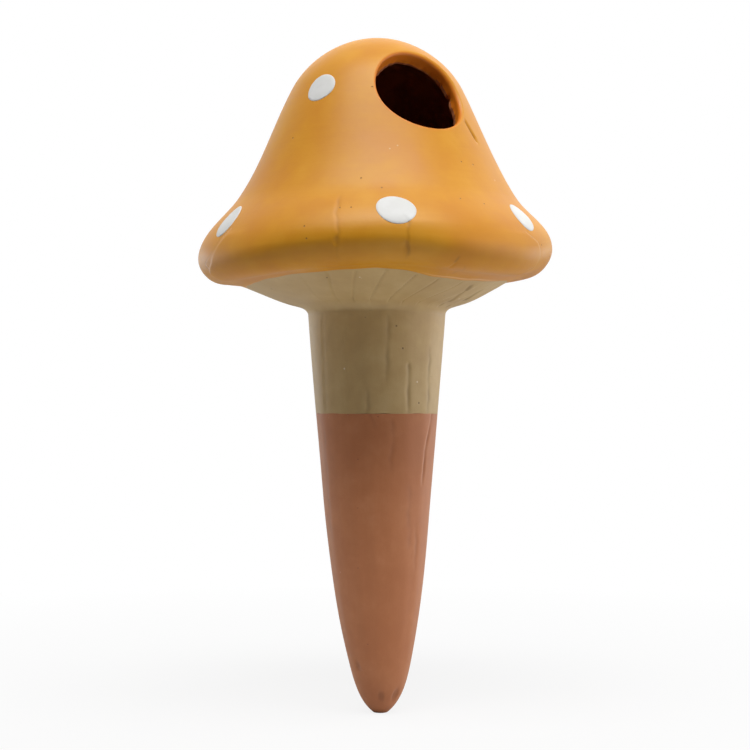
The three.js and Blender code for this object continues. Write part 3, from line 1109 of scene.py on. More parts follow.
@dataclass
class GillPlate:
    """The gilled underside with its neck down to the stem."""

    outline: Outline
    hand: HandShape
    node: str = "gill_plate"
    steps: int = 600
    gills: int = 30
    depth: float = 1.0
    back: float = 0.55
    # Strength of the painted shade in the gill creases.
    dark: float = 0.42
    swirl: float = 9.0
    first_turn: float = -10.2
    spigot: float = 4.0
    folds: tuple[Fold, ...] = (
        Fold(
            ((33.4, 49.0), (32.7, 49.8), (30.6, 52.8), (29.4, 55.4), (28.3, 57.2)),
            Side.RIGHT, 0.35, 3.0, 0.3, 0.5, 0.6, 0.5, 0.03, 0.36,
        ),
        Fold(
            ((33.2, 65.0), (31.6, 66.4), (29.8, 68.6), (28.3, 70.5)),
            Side.RIGHT, 0.3, 3.0, 0.26, 0.5, 0.6, 0.5, 0.03, 0.34,
        ),
    )
    swirl_reach: Span = (19.0, 36.0)
    swirl_start: float = 0.65
    sway: Waves = Waves(31, 1.9, (4, 7, 11))
    strength_seed: int = 17
    strength: Span = (0.45, 1.0)
    back_turns: Span = (80.0, 125.0)
    front_mean: float = 0.47
    front_swing: float = 0.53
    front_least: float = 0.05
    front_power: float = 1.5
    rise_power: float = 1.3
    fall: Span = (1.0, 0.94)
    crease: float = 0.7
    crease_width: float = 0.05
    fade_rim: Span = (36.2, 33.0)
    fade_neck: Span = (18.6, 21.5)
    # How pale the raised gill surface is painted, a painted highlight, partly abrasion.
    rub_highlight_strength: float = 2.0
    skin_slack: float = 0.25
    smooth_angle: float = 50.0

    def section(self) -> np.ndarray:
        """Draws the plate's section: gilled side, fillet, spigot, and the inside back to the rim.

        Returns:
            Radius and height of its corners.
        """
        under, fillet = self.outline.underside(), self.outline.fillet()
        wall, slip = self.outline.wall, self.outline.slip
        rim = under.passes(0, self.outline.seam_radius - slip)
        lap_end = under.passes(0, self.outline.seam_radius - self.outline.lap - slip)
        neck = self.outline.neck
        inner = neck[0] - wall / 2.0 - slip
        bore = neck[0] - wall
        corners = np.array([[inner, neck[1]], [inner, neck[1] - self.spigot], [bore, neck[1] - self.spigot]])
        rows = [
            under.trace(36, 0.0, rim, 1.0)[:-1],
            fillet.trace(16),
            corners,
            fillet.trace(5, wall)[::-1],
            under.trace(4, wall, 1.0, lap_end)[1:],
            under.trace(3, wall / 2.0 - slip, lap_end, rim),
        ]
        return np.vstack(rows)

    def creases(self, points: np.ndarray) -> tuple[np.ndarray, np.ndarray]:
        """Overlapping gill folds, each a slow rise and a quick fall.

        Args:
            points: Points in millimetres.

        Returns:
            The rise of the folds, and their creases, as shares of the gills' depth.
        """
        radius, around = radius_of(points), turn_of(points)
        drift = self.swirl * smooth(*self.swirl_reach, radius)
        turns = around - self.first_turn - drift + self.swirl * self.swirl_start
        turns = turns + self.sway.at(turns)
        pitch = 360.0 / self.gills
        share = (turns / pitch) % 1.0
        number = np.floor(turns / pitch).astype(int) % self.gills
        rng = np.random.default_rng(self.strength_seed)
        strength = rng.uniform(*self.strength, self.gills)[number]
        back = smooth(*self.back_turns, np.abs(around))
        front = self.front_mean + self.front_swing * np.sin(np.radians(around))
        front = np.maximum(self.front_least, front) ** self.front_power
        side = front * (1.0 - back) + self.back * back
        rise = share**self.rise_power * smooth(*self.fall, share)
        line = bell((share + 0.5) % 1.0 - 0.5, self.crease_width)
        fade = smooth(*self.fade_rim, radius) * smooth(*self.fade_neck, radius)
        weight = strength * side * fade
        return (rise - 0.5) * weight, line * weight

    def build(self) -> bpy.types.Object:
        """Turns the plate and folds its gills.

        Returns:
            The plate.
        """
        plate = Workshop.turned("gill_plate_body", self.section(), self.steps)
        points = Workshop.points(plate)
        skin = np.vstack([self.outline.underside().trace(400), self.outline.fillet().trace(400)])
        skin = skin[np.argsort(skin[:, 0])]
        off = points[:, 2] - np.interp(radius_of(points), skin[:, 0], skin[:, 1])
        outside = np.abs(off) < self.skin_slack
        rise, line = self.creases(points)
        folds = np.sum([fold.relief(points) for fold in self.folds], axis=0)
        lift = ((rise - self.crease * line) * self.depth + folds) * outside
        # Painted highlights, partly abrasion, on the raised gill surface and fold edges; painted shade in the
        # creases, stronger towards the right.
        painted_light_and_abrasion = np.max([fold.rub_highlight_share(points) for fold in self.folds], axis=0) * outside
        painted_shade = np.max([line * self.dark] + [fold.painted_shade(points) for fold in self.folds], axis=0)
        rub_highlight = np.maximum(lift / self.depth * self.rub_highlight_strength, painted_light_and_abrasion)
        Workshop.work(plate, self.hand, lift, {"rub_highlight": rub_highlight, "painted_shade": painted_shade * outside})
        return plate

    def dress(self, plate: bpy.types.Object, paint: bpy.types.Material, clay: bpy.types.Material) -> None:
        """Paints the gilled side and leaves the inside bare.

        Args:
            plate: The plate.
            paint: Finish of its outside.
            clay: Finish of its inside.
        """
        Workshop.coat(plate, paint, clay, Workshop.inside(plate))
        Workshop.polish(plate, self.smooth_angle)
        hand_over(plate, self.node)


@dataclass
class ScrapedPiece(ABC):
    """What stem and spike share: a turned side that a scraper went down."""

    outline: Outline
    hand: HandShape
    node: str
    slot: Slot
    steps: int
    crowd: Span
    grooves: tuple[Fold, ...]
    spigot: float = 4.0
    skin_slack: float = 0.05

    @abstractmethod
    def section(self) -> np.ndarray:
        """Radius and height of the section's corners."""

    @abstractmethod
    def skin(self) -> np.ndarray:
        """Fine points up the outside, as radius and height."""

    @abstractmethod
    def relief(self, points: np.ndarray) -> np.ndarray:
        """How far the outside moves outwards at every point."""

    def extra_painted_shade(self, points: np.ndarray) -> np.ndarray:
        """How much shade is painted on the outside apart from its grooves."""
        return np.zeros(len(points))

    def build(self) -> bpy.types.Object:
        """Turns the piece and scrapes its grooves.

        Returns:
            The piece.
        """
        piece = Workshop.turned(self.node + "_body", self.section(), self.steps)
        Workshop.respace(piece, [(groove.mean_turn(), *self.crowd) for groove in self.grooves])
        points, skin = Workshop.points(piece), self.skin()
        off = radius_of(points) - np.interp(points[:, 2], skin[:, 1], skin[:, 0])
        outside = np.abs(off) < self.skin_slack
        lift = self.relief(points) * outside
        # Painted highlights, partly abrasion, along groove edges; painted shade in the grooves and chips.
        rub_highlight = np.max([groove.rub_highlight_share(points) for groove in self.grooves], axis=0)
        painted_shade = np.max([groove.painted_shade(points) for groove in self.grooves], axis=0) + self.extra_painted_shade(points)
        Workshop.work(piece, self.hand, lift, {"rub_highlight": rub_highlight * outside, "painted_shade": painted_shade * outside})
        return piece

    def dress(self, piece: bpy.types.Object, outer: bpy.types.Material, inner: bpy.types.Material) -> None:
        """Finishes the outside and the bore.

        Args:
            piece: The piece.
            outer: Finish of its outside.
            inner: Finish of its bore.
        """
        Workshop.coat(piece, outer, inner, Workshop.inside(piece))
        Workshop.polish(piece)
        hand_over(piece, self.node)


@dataclass
class Stem(ScrapedPiece):
    """The short painted tube between cap and soil line."""

    node: str = "stem"
    slot: Slot = Slot.KHAKI
    steps: int = 320
    crowd: Span = (3.0, 2.2)
    grooves: tuple[Fold, ...] = (
        Fold(((24.4, 9.3), (16.0, 8.4), (9.1, 7.8)), Side.LEFT, 0.1, 2.2, 0.2, 0.7, 2.0, 0.3, 0.15),
        Fold(((12.5, 28.4), (-1.0, 29.4)), Side.LEFT, 0.16, 2.0, 0.32, 0.65, 0.5, 0.5, 0.08, 0.3),
        Fold(((6.0, -8.8), (-1.0, -8.1)), Side.LEFT, 0.07, 1.8, 0.16, 0.7, 1.5, 0.3),
        Fold(((16.5, 51.6), (-1.0, 54.8)), Side.RIGHT, 0.1, 2.2, 0.14, 0.7, 2.0, 0.3),
        Fold(((24.0, -52.0), (2.0, -55.0)), Side.LEFT, 0.16, 2.2, 0.08, 0.8, 3.0, 0.3, 0.0, 0.05),
        Fold(((20.0, 96.0), (4.0, 97.5)), Side.RIGHT, 0.08, 2.0, 0.14, 0.75, 1.5, 0.2),
        Fold(((11.0, 150.0), (-1.0, 149.0)), Side.LEFT, 0.1, 2.0, 0.18, 0.7, 0.8, 0.3),
        Fold(((25.0, -158.0), (10.0, -159.0)), Side.RIGHT, 0.06, 2.0, 0.12, 0.75, 1.5, 0.2),
        Fold(((15.0, -112.0), (-1.0, -110.0)), Side.LEFT, 0.08, 2.0, 0.14, 0.75, 1.2, 0.2),
    )
    groove_top: Span = (26.2, 24.0)
    groove_foot: Span = (0.0, 1.0)

    def section(self) -> np.ndarray:
        """Draws the tube's section, with a socket at the top and a spigot at the foot.

        Returns:
            Radius and height of its corners.
        """
        side, wall, slip = self.outline.stem_side(), self.outline.wall, self.outline.slip
        neck, soil = self.outline.neck, self.outline.soil
        socket = neck[0] - wall / 2.0
        floor = neck[1] - self.spigot - slip
        spigot = soil[0] - wall / 2.0 - slip
        bore = side.trace(4, wall, side.passes(1, floor), 1.0)
        bore[0, 1] = floor
        top = neck[1] - slip / 10.0
        rows = [
            np.array([[spigot, -self.spigot], [spigot, 0.0]]),
            side.trace(48, 0.0, 1.0, side.passes(1, top)),
            np.array([[socket, top], [socket, floor]]),
            bore,
            np.array([[bore[-1, 0], -self.spigot]]),
        ]
        return np.vstack(rows)

    def skin(self) -> np.ndarray:
        """Fine points up the tube's outside, as radius and height."""
        return self.outline.stem_side().trace(200)[::-1]

    def relief(self, points: np.ndarray) -> np.ndarray:
        """Cuts the flutes and grooves that the scraper left.

        Args:
            points: Points in millimetres.

        Returns:
            How far the outside moves outwards at every point.
        """
        height = points[:, 2]
        cuts = np.sum([groove.relief(points) for groove in self.grooves], axis=0)
        cuts = cuts * smooth(*self.groove_top, height) * smooth(*self.groove_foot, height)
        return self.hand.flutes(points) + cuts


@dataclass
class Spike(ScrapedPiece):
    """The long bare point that goes into the soil."""

    node: str = "spike"
    slot: Slot = Slot.CLAY
    steps: int = 300
    crowd: Span = (4.0, 1.8)
    grooves: tuple[Fold, ...] = (
        Fold(((-2.0, 14.9), (-14.6, 13.8)), Side.LEFT, 0.05, 2.0, 0.1, 0.7, 2.0, 0.2),
        Fold(
            ((1.0, 63.5), (-3.0, 60.0), (-9.5, 54.4), (-18.0, 54.0)),
            Side.LEFT, 0.24, 1.6, 0.42, 0.6, 1.5, 0.9, 0.08, 0.3,
        ),
        Fold(((-30.5, 48.2), (-39.7, 50.0)), Side.LEFT, 0.08, 1.6, 0.13, 0.65, 2.5, 0.4),
        Fold(((1.0, -5.6), (-3.4, -3.0)), Side.NEITHER, 0.0, 1.5, 0.1, 0.6, 1.0, 0.1),
        Fold(((-20.0, 36.0), (-34.0, 38.0)), Side.LEFT, 0.05, 1.8, 0.06, 0.8, 3.0, 0.2),
        Fold(((-4.0, -60.0), (-30.0, -63.0)), Side.RIGHT, 0.08, 2.4, 0.06, 0.8, 4.0, 0.2),
        Fold(((0.5, 104.0), (-22.0, 107.0)), Side.RIGHT, 0.1, 2.0, 0.18, 0.65, 1.5, 0.4),
        Fold(((-12.0, 146.0), (-44.0, 143.0)), Side.LEFT, 0.08, 2.0, 0.12, 0.7, 2.0, 0.3),
        Fold(((-3.0, -168.0), (-26.0, -170.0)), Side.RIGHT, 0.1, 2.0, 0.16, 0.65, 1.5, 0.4),
        Fold(((-30.0, -121.0), (-58.0, -118.0)), Side.LEFT, 0.08, 2.0, 0.12, 0.7, 2.0, 0.3),
        Fold(((-66.4, -54.0), (-67.5, -38.0)), Side.NEITHER, 0.0, 1.0, 0.05, 0.3, 0.3, 1.0, 0.0, 0.0),
    )
    groove_top: Span = (0.0, -1.0)
    tip_clay: float = 8.0
    tip_edge: tuple[Span, ...] = ((0.12, 0.02), (0.5, 0.0))
    # Strength of the painted shade in the chips.
    chip_dark: float = 0.4
    chips: tuple[Chip, ...] = (
        Chip(42.5, -74.5, 1.1, 0.35),
        Chip(1.0, -74.6, 0.9, 0.22),
        Chip(-45.0, -66.6, 0.9, 0.2),
        Chip(-120.0, -73.0, 1.3, 0.3),
        Chip(150.0, -70.0, 1.0, 0.25),
    )

    def section(self) -> np.ndarray:
        """Draws the point's section: the closed bore, the socket and the outside down to the tip.

        Returns:
            Radius and height of its corners.
        """
        side, point = self.outline.spike_side(), self.outline.spike_point()
        wall, slip, soil = self.outline.wall, self.outline.slip, self.outline.soil
        socket = soil[0] - wall / 2.0
        floor = -self.spigot - slip
        bore = side.trace(14, wall, 1.0, side.passes(1, floor))
        bore[-1, 1] = floor
        end = (0.0, self.tip_clay + self.outline.tip[1])
        bore_tip = self.outline.bend(bore[0], 90.0 + self.outline.point_taper, end, 180.0)
        foot = self.outline.tip
        rounded = [[foot[0] - back, foot[1] + up] for back, up in self.tip_edge] + [[0.0, foot[1]]]
        rows = [
            bore_tip.trace(5)[::-1],
            bore[1:],
            np.array([[socket, floor], [socket, -slip / 10.0]]),
            side.trace(96, 0.0, side.passes(1, -slip / 10.0), 1.0),
            point.trace(30)[1:],
            np.array(rounded),
        ]
        points = np.vstack(rows)
        points[:, 0] = np.maximum(points[:, 0], 0.0)
        return points

    def skin(self) -> np.ndarray:
        """Fine points up the point's outside, as radius and height."""
        return np.vstack([self.outline.spike_side().trace(400), self.outline.spike_point().trace(200)])[::-1]

    def relief(self, points: np.ndarray) -> np.ndarray:
        """Cuts the flutes, the grooves and the chips near the tip.

        Args:
            points: Points in millimetres.

        Returns:
            How far the outside moves outwards at every point.
        """
        cuts = np.sum([groove.relief(points) for groove in self.grooves], axis=0)
        lift = self.hand.flutes(points) + cuts * smooth(*self.groove_top, points[:, 2])
        for chip in self.chips:
            lift = lift - chip.depth * chip.share(points)
        return lift

    def extra_painted_shade(self, points: np.ndarray) -> np.ndarray:
        """How much shade is painted into the chips."""
        return np.sum([self.chip_dark * chip.share(points) for chip in self.chips], axis=0)


@dataclass
class Spot:
    """One raised drop of white enamel on the cap."""

    node: str
    turn: float
    height: float
    width: float
    tall: float
    tilt: float = 0.0
    seed: int = 1
    thickness: float = 0.2
    bed: float = 0.35
    corners: int = 72
    insets: tuple[Span, ...] = (
        (0.025, 0.36),
        (0.035, 0.24),
        (0.06, 0.16),
        (0.11, 0.12),
        (0.17, 0.07),
        (0.2, 0.03),
        (0.2, 0.02),
    )
    bulges: tuple[tuple[int, float], ...] = ((2, 0.022), (3, 0.018))
    bulge_phase: float = 6.3
    rim_lift: float = 0.03
    smooth_angle: float = 70.0

    def build(self, cap: Cap) -> bpy.types.Object:
        """Domes a disc by insets, gives it a bed in the paint and lays it on the cap.

        Args:
            cap: The cap that it lies on.

        Returns:
            The closed drop.
        """
        Workshop.begin()
        bpy.ops.mesh.primitive_circle_add(vertices=self.corners, radius=1.0, fill_type="NGON")
        drop = bpy.context.object
        drop.name = drop.data.name = self.node + "_drop"
        bpy.ops.object.mode_set(mode="EDIT")
        bpy.ops.mesh.select_mode(type="FACE")
        bpy.ops.mesh.select_all(action="SELECT")
        bpy.ops.mesh.extrude_region_move(TRANSFORM_OT_translate={"value": (0.0, 0.0, 1.0)})
        for inset, rise in self.insets:
            bpy.ops.mesh.inset(thickness=inset, depth=rise)
        bpy.ops.mesh.poke()
        bpy.ops.mesh.select_all(action="SELECT")
        bpy.ops.mesh.normals_make_consistent(inside=False)
        bpy.ops.object.mode_set(mode="OBJECT")
        Workshop.move(drop, self.laid(Workshop.points(drop) * MM, cap))
        return drop

    def laid(self, disc: np.ndarray, cap: Cap) -> np.ndarray:
        """Lays the domed disc on the cap's surface.

        Args:
            disc: Corners of the unit disc, with its bed at height 0 and its rim at 1.
            cap: The cap that it lies on.

        Returns:
            The corners in millimetres.
        """
        angle = np.arctan2(disc[:, 1], disc[:, 0])
        share = radius_of(disc)
        rng = np.random.default_rng(self.seed)
        uneven = np.ones_like(angle)
        for count, size in self.bulges:
            uneven = uneven + size * np.sin(count * angle + rng.uniform(0, self.bulge_phase))
        across = share * uneven * np.cos(angle) * self.width / 2.0
        up = share * uneven * np.sin(angle) * self.tall / 2.0
        tilt = math.radians(self.tilt)
        right = across * math.cos(tilt) - up * math.sin(tilt)
        rise = across * math.sin(tilt) + up * math.cos(tilt)
        skin, _ = cap.outline.cap_skin()
        radius = np.interp(self.height, skin[::-1, 1], skin[::-1, 0])
        turns = self.turn + np.degrees(right / radius)
        dome = (disc[:, 2] - 1.0) * self.thickness + self.rim_lift
        lift = np.where(disc[:, 2] < 0.5, -self.bed, dome)
        return cap.place(turns, np.full_like(turns, self.height), rise, lift)

    def dress(self, drop: bpy.types.Object, enamel: bpy.types.Material) -> None:
        """Glazes the drop.

        Args:
            drop: The drop.
            enamel: Its finish.
        """
        drop.data.materials.append(enamel)
        Workshop.polish(drop, self.smooth_angle)
        hand_over(drop, self.node)


def hand_over(piece: bpy.types.Object, node: str) -> None:
    """Ties a finished piece to the CAD node that it stands for.

    Args:
        piece: The finished piece.
        node: Name of the CAD node.
    """
    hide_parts(node)
    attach(piece, BODY)
    LOG.info("%s stands for %s with %d faces", piece.name, node, len(piece.data.polygons))


class Value:
    """A number socket that takes part in Python expressions, each of which adds a Math node."""

    def __init__(self, nodes: "Nodes", socket: bpy.types.NodeSocket) -> None:
        """Wraps a socket of a material's node tree."""
        self.nodes = nodes
        self.socket = socket

    def _math(self, operation: str, first: Any, second: Any) -> "Value":
        """A Math node over two values."""
        made = self.nodes.add("ShaderNodeMath", {"operation": operation}, {0: first, 1: second})
        return Value(self.nodes, made.outputs[0])

    def __add__(self, other: "Value | float") -> "Value":
        """Sum."""
        return self._math("ADD", self, other)

    def __radd__(self, other: float) -> "Value":
        """Sum with a number on the left."""
        return self._math("ADD", other, self)

    def __sub__(self, other: "Value | float") -> "Value":
        """Difference."""
        return self._math("SUBTRACT", self, other)

    def __rsub__(self, other: float) -> "Value":
        """Difference from a number on the left."""
        return self._math("SUBTRACT", other, self)

    def __mul__(self, other: "Value | float") -> "Value":
        """Product."""
        return self._math("MULTIPLY", self, other)

    def __rmul__(self, other: float) -> "Value":
        """Product with a number on the left."""
        return self._math("MULTIPLY", other, self)

    def above(self, low: float, high: float) -> "Value":
        """Eased share of the way between two limits.

        Args:
            low: Where it is 0.
            high: Where it is 1.

        Returns:
            The share.
        """
        limits = {"Value": self, "From Min": low, "From Max": high}
        made = self.nodes.add("ShaderNodeMapRange", {"interpolation_type": "SMOOTHSTEP"}, limits)
        return Value(self.nodes, made.outputs[0])

    def below(self, low: float, high: float) -> "Value":
        """Eased share that falls from 1 at low to 0 at high."""
        return 1.0 - self.above(low, high)


class Nodes:
    """A node tree with one way to add a node to it."""

    def __init__(self, tree: bpy.types.NodeTree) -> None:
        """Empties a tree to fill it anew."""
        self.tree = tree
        self.tree.nodes.clear()

    def add(self, kind: str, settings: dict[str, Any], sockets: dict[Any, Any]) -> bpy.types.Node:
        """Adds one node.

        Args:
            kind: The node's type.
            settings: Its properties, set before its sockets.
            sockets: Values or links of its inputs, by name or number.

        Returns:
            The node.
        """
        node = self.tree.nodes.new(kind)
        for name, value in settings.items():
            setattr(node, name, value)
        for name, value in sockets.items():
            self.feed(node.inputs[name], value)
        return node

    def feed(self, socket: bpy.types.NodeSocket, value: Any) -> None:
        """Links or sets an input.

        Args:
            socket: The input.
            value: A value or socket to link, or a number or colour to set.
        """
        if isinstance(value, Value):
            value = value.socket
        if isinstance(value, bpy.types.NodeSocket):
            self.tree.links.new(value, socket)
        else:
            socket.default_value = value

    def seen(self, mirrored: float = 1.0) -> Value:
        """Tells what sees the white background: the camera, and what is let through or mirrored.

        Args:
            mirrored: Share of the background that mirrored rays see.

        Returns:
            The share of the background.
        """
        path = self.add("ShaderNodeLightPath", {}, {})
        rays = ("Is Camera Ray", "Is Glossy Ray", "Is Transmission Ray")
        camera, glossy, through = (Value(self, path.outputs[name]) for name in rays)
        return camera + glossy * mirrored + through

    def finish(self, kind: str, share: Any, first: bpy.types.Node, second: bpy.types.Node) -> None:
        """Mixes two shaders by a share and makes them the tree's surface.

        Args:
            kind: Type of the output node.
            share: Share of the second shader.
            first: First shader.
            second: Second shader.
        """
        mix = self.add("ShaderNodeMixShader", {}, {0: share, 1: first.outputs[0], 2: second.outputs[0]})
        self.add(kind, {}, {"Surface": mix.outputs[0]})


class Dressing(Nodes):
    """The node tree of one finish: a Principled shader fed from object coordinates."""

    def __init__(self, name: str) -> None:
        """Starts a material with a bare Principled shader.

        Args:
            name: Name of the material.
        """
        self.material = bpy.data.materials.new(name)
        self.material.use_nodes = True
        super().__init__(self.material.node_tree)
        self.shader = self.add("ShaderNodeBsdfPrincipled", {}, {})
        self.add("ShaderNodeOutputMaterial", {}, {"Surface": self.shader.outputs[0]})
        self.place = self.add("ShaderNodeTexCoord", {}, {}).outputs["Object"]

    def stretched(self, across: float, up: float) -> bpy.types.NodeSocket:
        """Object coordinates scaled across and up, for streaks."""
        made = self.add("ShaderNodeMapping", {}, {"Vector": self.place, "Scale": (across, across, up)})
        return made.outputs[0]

    def noise(self, size: float, detail: float = 3.0, rough: float = 0.55, place: Any = None) -> Value:
        """Cloudy noise.

        Args:
            size: Size of its features in millimetres, when no coordinates are given.
            detail: Number of finer layers.
            rough: Strength of the finer layers.
            place: Coordinates whose unit is the size of a feature.

        Returns:
            The noise, from 0 to 1.
        """
        scale = 1.0 if place is not None else 1.0 / (size * MM)
        sockets = {"Vector": place or self.place, "Scale": scale, "Detail": detail, "Roughness": rough}
        made = self.add("ShaderNodeTexNoise", {}, sockets)
        return Value(self, made.outputs["Fac"])

    def specks(self, size: float, share: float, core: float, edge: float) -> Value:
        """Scattered specks, 1 in their middle.

        Args:
            size: Distance between neighbours in millimetres.
            share: Share of the places that hold one.
            core: Radius of a speck's core, as a part of size.
            edge: Radius where it ends.

        Returns:
            The mask.
        """
        cells = self.add("ShaderNodeTexVoronoi", {}, {"Vector": self.place, "Scale": 1.0 / (size * MM)})
        pick = self.add("ShaderNodeSeparateColor", {}, {"Color": cells.outputs["Color"]})
        chosen = Value(self, pick.outputs[0]).below(share, share + 0.01)
        return chosen * Value(self, cells.outputs["Distance"]).below(core, edge)

    def dots(self, places: np.ndarray, core: float, edge: float) -> Value:
        """Round specks at given places, 1 in their middle.

        Args:
            places: Their middles in millimetres.
            core: Radius of a speck's core in millimetres.
            edge: Radius where it ends.

        Returns:
            The mask.
        """
        total: Any = 0.0
        for place in places:
            middle = tuple(float(v) * MM for v in place)
            made = self.add("ShaderNodeVectorMath", {"operation": "DISTANCE"}, {0: self.place, 1: middle})
            total = Value(self, made.outputs["Value"]).below(core * MM, edge * MM) + total
        return total

    def note(self, name: str) -> Value:
        """One of the piece's own notes, such as where it is rubbed."""
        made = self.add("ShaderNodeAttribute", {"attribute_name": name}, {})
        return Value(self, made.outputs["Fac"])

    def blend(self, share: Any, first: Any, second: Any) -> bpy.types.NodeSocket:
        """Mix of two colours."""
        made = self.add("ShaderNodeMix", {"data_type": "RGBA"}, {0: share, 6: first, 7: second})
        return made.outputs[2]

    def bump(self, height: Value, reach: float) -> None:
        """Feeds a height field, whose unit is a reach in millimetres, to the shader's normal."""
        made = self.add("ShaderNodeBump", {}, {"Strength": 1.0, "Distance": reach * MM, "Height": height})
        self.feed(self.shader.inputs["Normal"], made.outputs[0])

    def set(self, **sockets: Any) -> None:
        """Feeds the shader's sockets, whose spaces are written as underscores."""
        for name, value in sockets.items():
            self.feed(self.shader.inputs[name.replace("_", " ")], value)


def rgba(colour: Colour) -> tuple[float, float, float, float]:
    """A linear colour with full alpha."""
    return (*colour, 1.0)


def grey(shade: float) -> tuple[float, float, float, float]:
    """A linear grey with full alpha."""
    return (shade, shade, shade, 1.0)


@dataclass(frozen=True)
class Specks:
    """Specks in a finish, scattered or placed: how far apart and how many, and their core and edge."""

    size: float
    share: float
    core: float
    edge: float
    strength: float = 1.0
    placed: Span = (0.12, 0.36)

    def mask(self, nodes: Dressing, places: np.ndarray) -> Value:
        """Where the specks are, 1 in their middle, with those at given places in millimetres."""
        scattered = nodes.specks(self.size, self.share, self.core, self.edge)
        return scattered * self.strength + nodes.dots(places, *self.placed)


@dataclass(frozen=True)
class Tooth:
    """The fine roughness of a finish: what each of its patterns adds to the height, or takes for pits."""

    grain: float
    streak: float
    patch: float
    pits: float
    flecks: float
    unit: float = 0.05


@dataclass(frozen=True)
class ClayFinish:
    """What the paints and the bare clay share: three tones in clouds and streaks, pits, flecks and grain."""

    name: str
    deep: Colour
    main: Colour
    pale: Colour
    # Dark colour of pinholes, also used for the painted shade in grooves and creases.
    pit_and_shade: Colour
    fleck: Colour
    cloud: float
    patch: float
    streak: Span
    grain: float
    pits: Specks
    flecks: Specks
    tone: Place
    pale_from: Span
    pale_share: float
    pale_on_rub_highlight: float
    pits_seen: float
    flecks_seen: float
    rough: Place
    gloss: float
    tooth: Tooth
    main_from: Span = (0.36, 0.62)
    cloud_detail: float = 4.0
    grain_detail: float = 2.0
    streak_rough: float = 0.6

    def painted_light_and_abrasion(self, nodes: Dressing, colour: bpy.types.NodeSocket, rub_highlight: Value) -> bpy.types.NodeSocket:
        """The colour with its painted highlights and painted bounce light, partly abrasion; as it is, unless
        a finish says otherwise.
        """
        return colour

    def coat(self, pinholes: np.ndarray, bits: np.ndarray) -> Dressing:
        """Builds the finish's nodes.

        Args:
            pinholes: Places of the pinholes that show, in millimetres.
            bits: Places of the pale bits that show.

        Returns:
            The node tree with its material.
        """
        nodes = Dressing(self.name)
        cloud = nodes.noise(self.cloud, self.cloud_detail)
        patch = nodes.noise(self.patch)
        streak = nodes.noise(1.0, rough=self.streak_rough, place=nodes.stretched(*self.streak))
        grain = nodes.noise(self.grain, self.grain_detail)
        pits, flecks = self.pits.mask(nodes, pinholes), self.flecks.mask(nodes, bits)
        rub_highlight = nodes.note("rub_highlight")
        by_cloud, by_patch, by_streak = self.tone
        tone = cloud * by_cloud + patch * by_patch + streak * by_streak
        colour = nodes.blend(tone.above(*self.main_from), rgba(self.deep), rgba(self.main))
        # Pale painted highlights, partly abrasion, lighten the colour.
        pale = tone.above(*self.pale_from) * self.pale_share + rub_highlight * self.pale_on_rub_highlight
        colour = nodes.blend(pale, colour, rgba(self.pale))
        colour = self.painted_light_and_abrasion(nodes, colour, rub_highlight)
        # Painted shade in grooves, creases and chips, in the pinhole colour.
        colour = nodes.blend(nodes.note("painted_shade"), colour, rgba(self.pit_and_shade))
        colour = nodes.blend(pits * self.pits_seen, colour, rgba(self.pit_and_shade))
        colour = nodes.blend(flecks * self.flecks_seen, colour, rgba(self.fleck))
        least, by_patch, by_streak = self.rough
        rough = least + by_patch * patch + by_streak * streak
        nodes.set(Base_Color=colour, Roughness=rough, Specular_IOR_Level=self.gloss)
        tooth = self.tooth
        height = grain * tooth.grain + streak * tooth.streak + patch * tooth.patch
        nodes.bump(height - pits * tooth.pits + flecks * tooth.flecks, tooth.unit)
        return nodes


@dataclass(frozen=True)
class OchrePaint(ClayFinish):
    """Satin ochre paint, wiped on over trimmed clay."""

    name: str = "ochre paint"
    deep: Colour = (0.57, 0.216, 0.004)
    main: Colour = (0.625, 0.266, 0.007)
    pale: Colour = (0.68, 0.325, 0.035)
    pit_and_shade: Colour = (0.16, 0.05, 0.006)
    fleck: Colour = (0.8, 0.62, 0.36)
    cloud: float = 26.0
    patch: float = 7.0
    streak: Span = (60.0, 1500.0)
    grain: float = 0.55
    pits: Specks = Specks(5.5, 0.16, 0.02, 0.05, 0.7, (0.1, 0.3))
    flecks: Specks = Specks(7.5, 0.1, 0.02, 0.04, 0.7, (0.1, 0.28))
    tone: Place = (0.65, 0.27, 0.08)
    pale_from: Span = (0.52, 0.74)
    pale_share: float = 0.5
    pale_on_rub_highlight: float = 0.2
    pits_seen: float = 0.8
    flecks_seen: float = 0.7
    rough: Place = (0.39, 0.12, 0.05)
    gloss: float = 0.38
    tooth: Tooth = Tooth(0.3, 0.2, 0.8, 1.8, 0.7)
    # Pale colour of the painted highlight on proud edges, partly abrasion of the paint.
    bare: Colour = (0.8, 0.5, 0.26)
    rub_highlight_from: Span = (0.4, 1.0)
    rub_highlight_mix: float = 0.6
    # Thinner, redder paint on the fill hole's wall, made brighter than it is as painted bounce light inside
    # the hole.
    thin_bounce_lit: Colour = (0.68, 0.185, 0.008)

    def painted_light_and_abrasion(self, nodes: Dressing, colour: bpy.types.NodeSocket, rub_highlight: Value) -> bpy.types.NodeSocket:
        """A pale painted highlight on proud edges, partly abrasion, and thinner, redder paint brightened as
        painted bounce light on the fill hole's wall.
        """
        colour = nodes.blend(rub_highlight.above(*self.rub_highlight_from) * self.rub_highlight_mix, colour, rgba(self.bare))
        return nodes.blend(nodes.note("thin_bounce_lit"), colour, rgba(self.thin_bounce_lit))


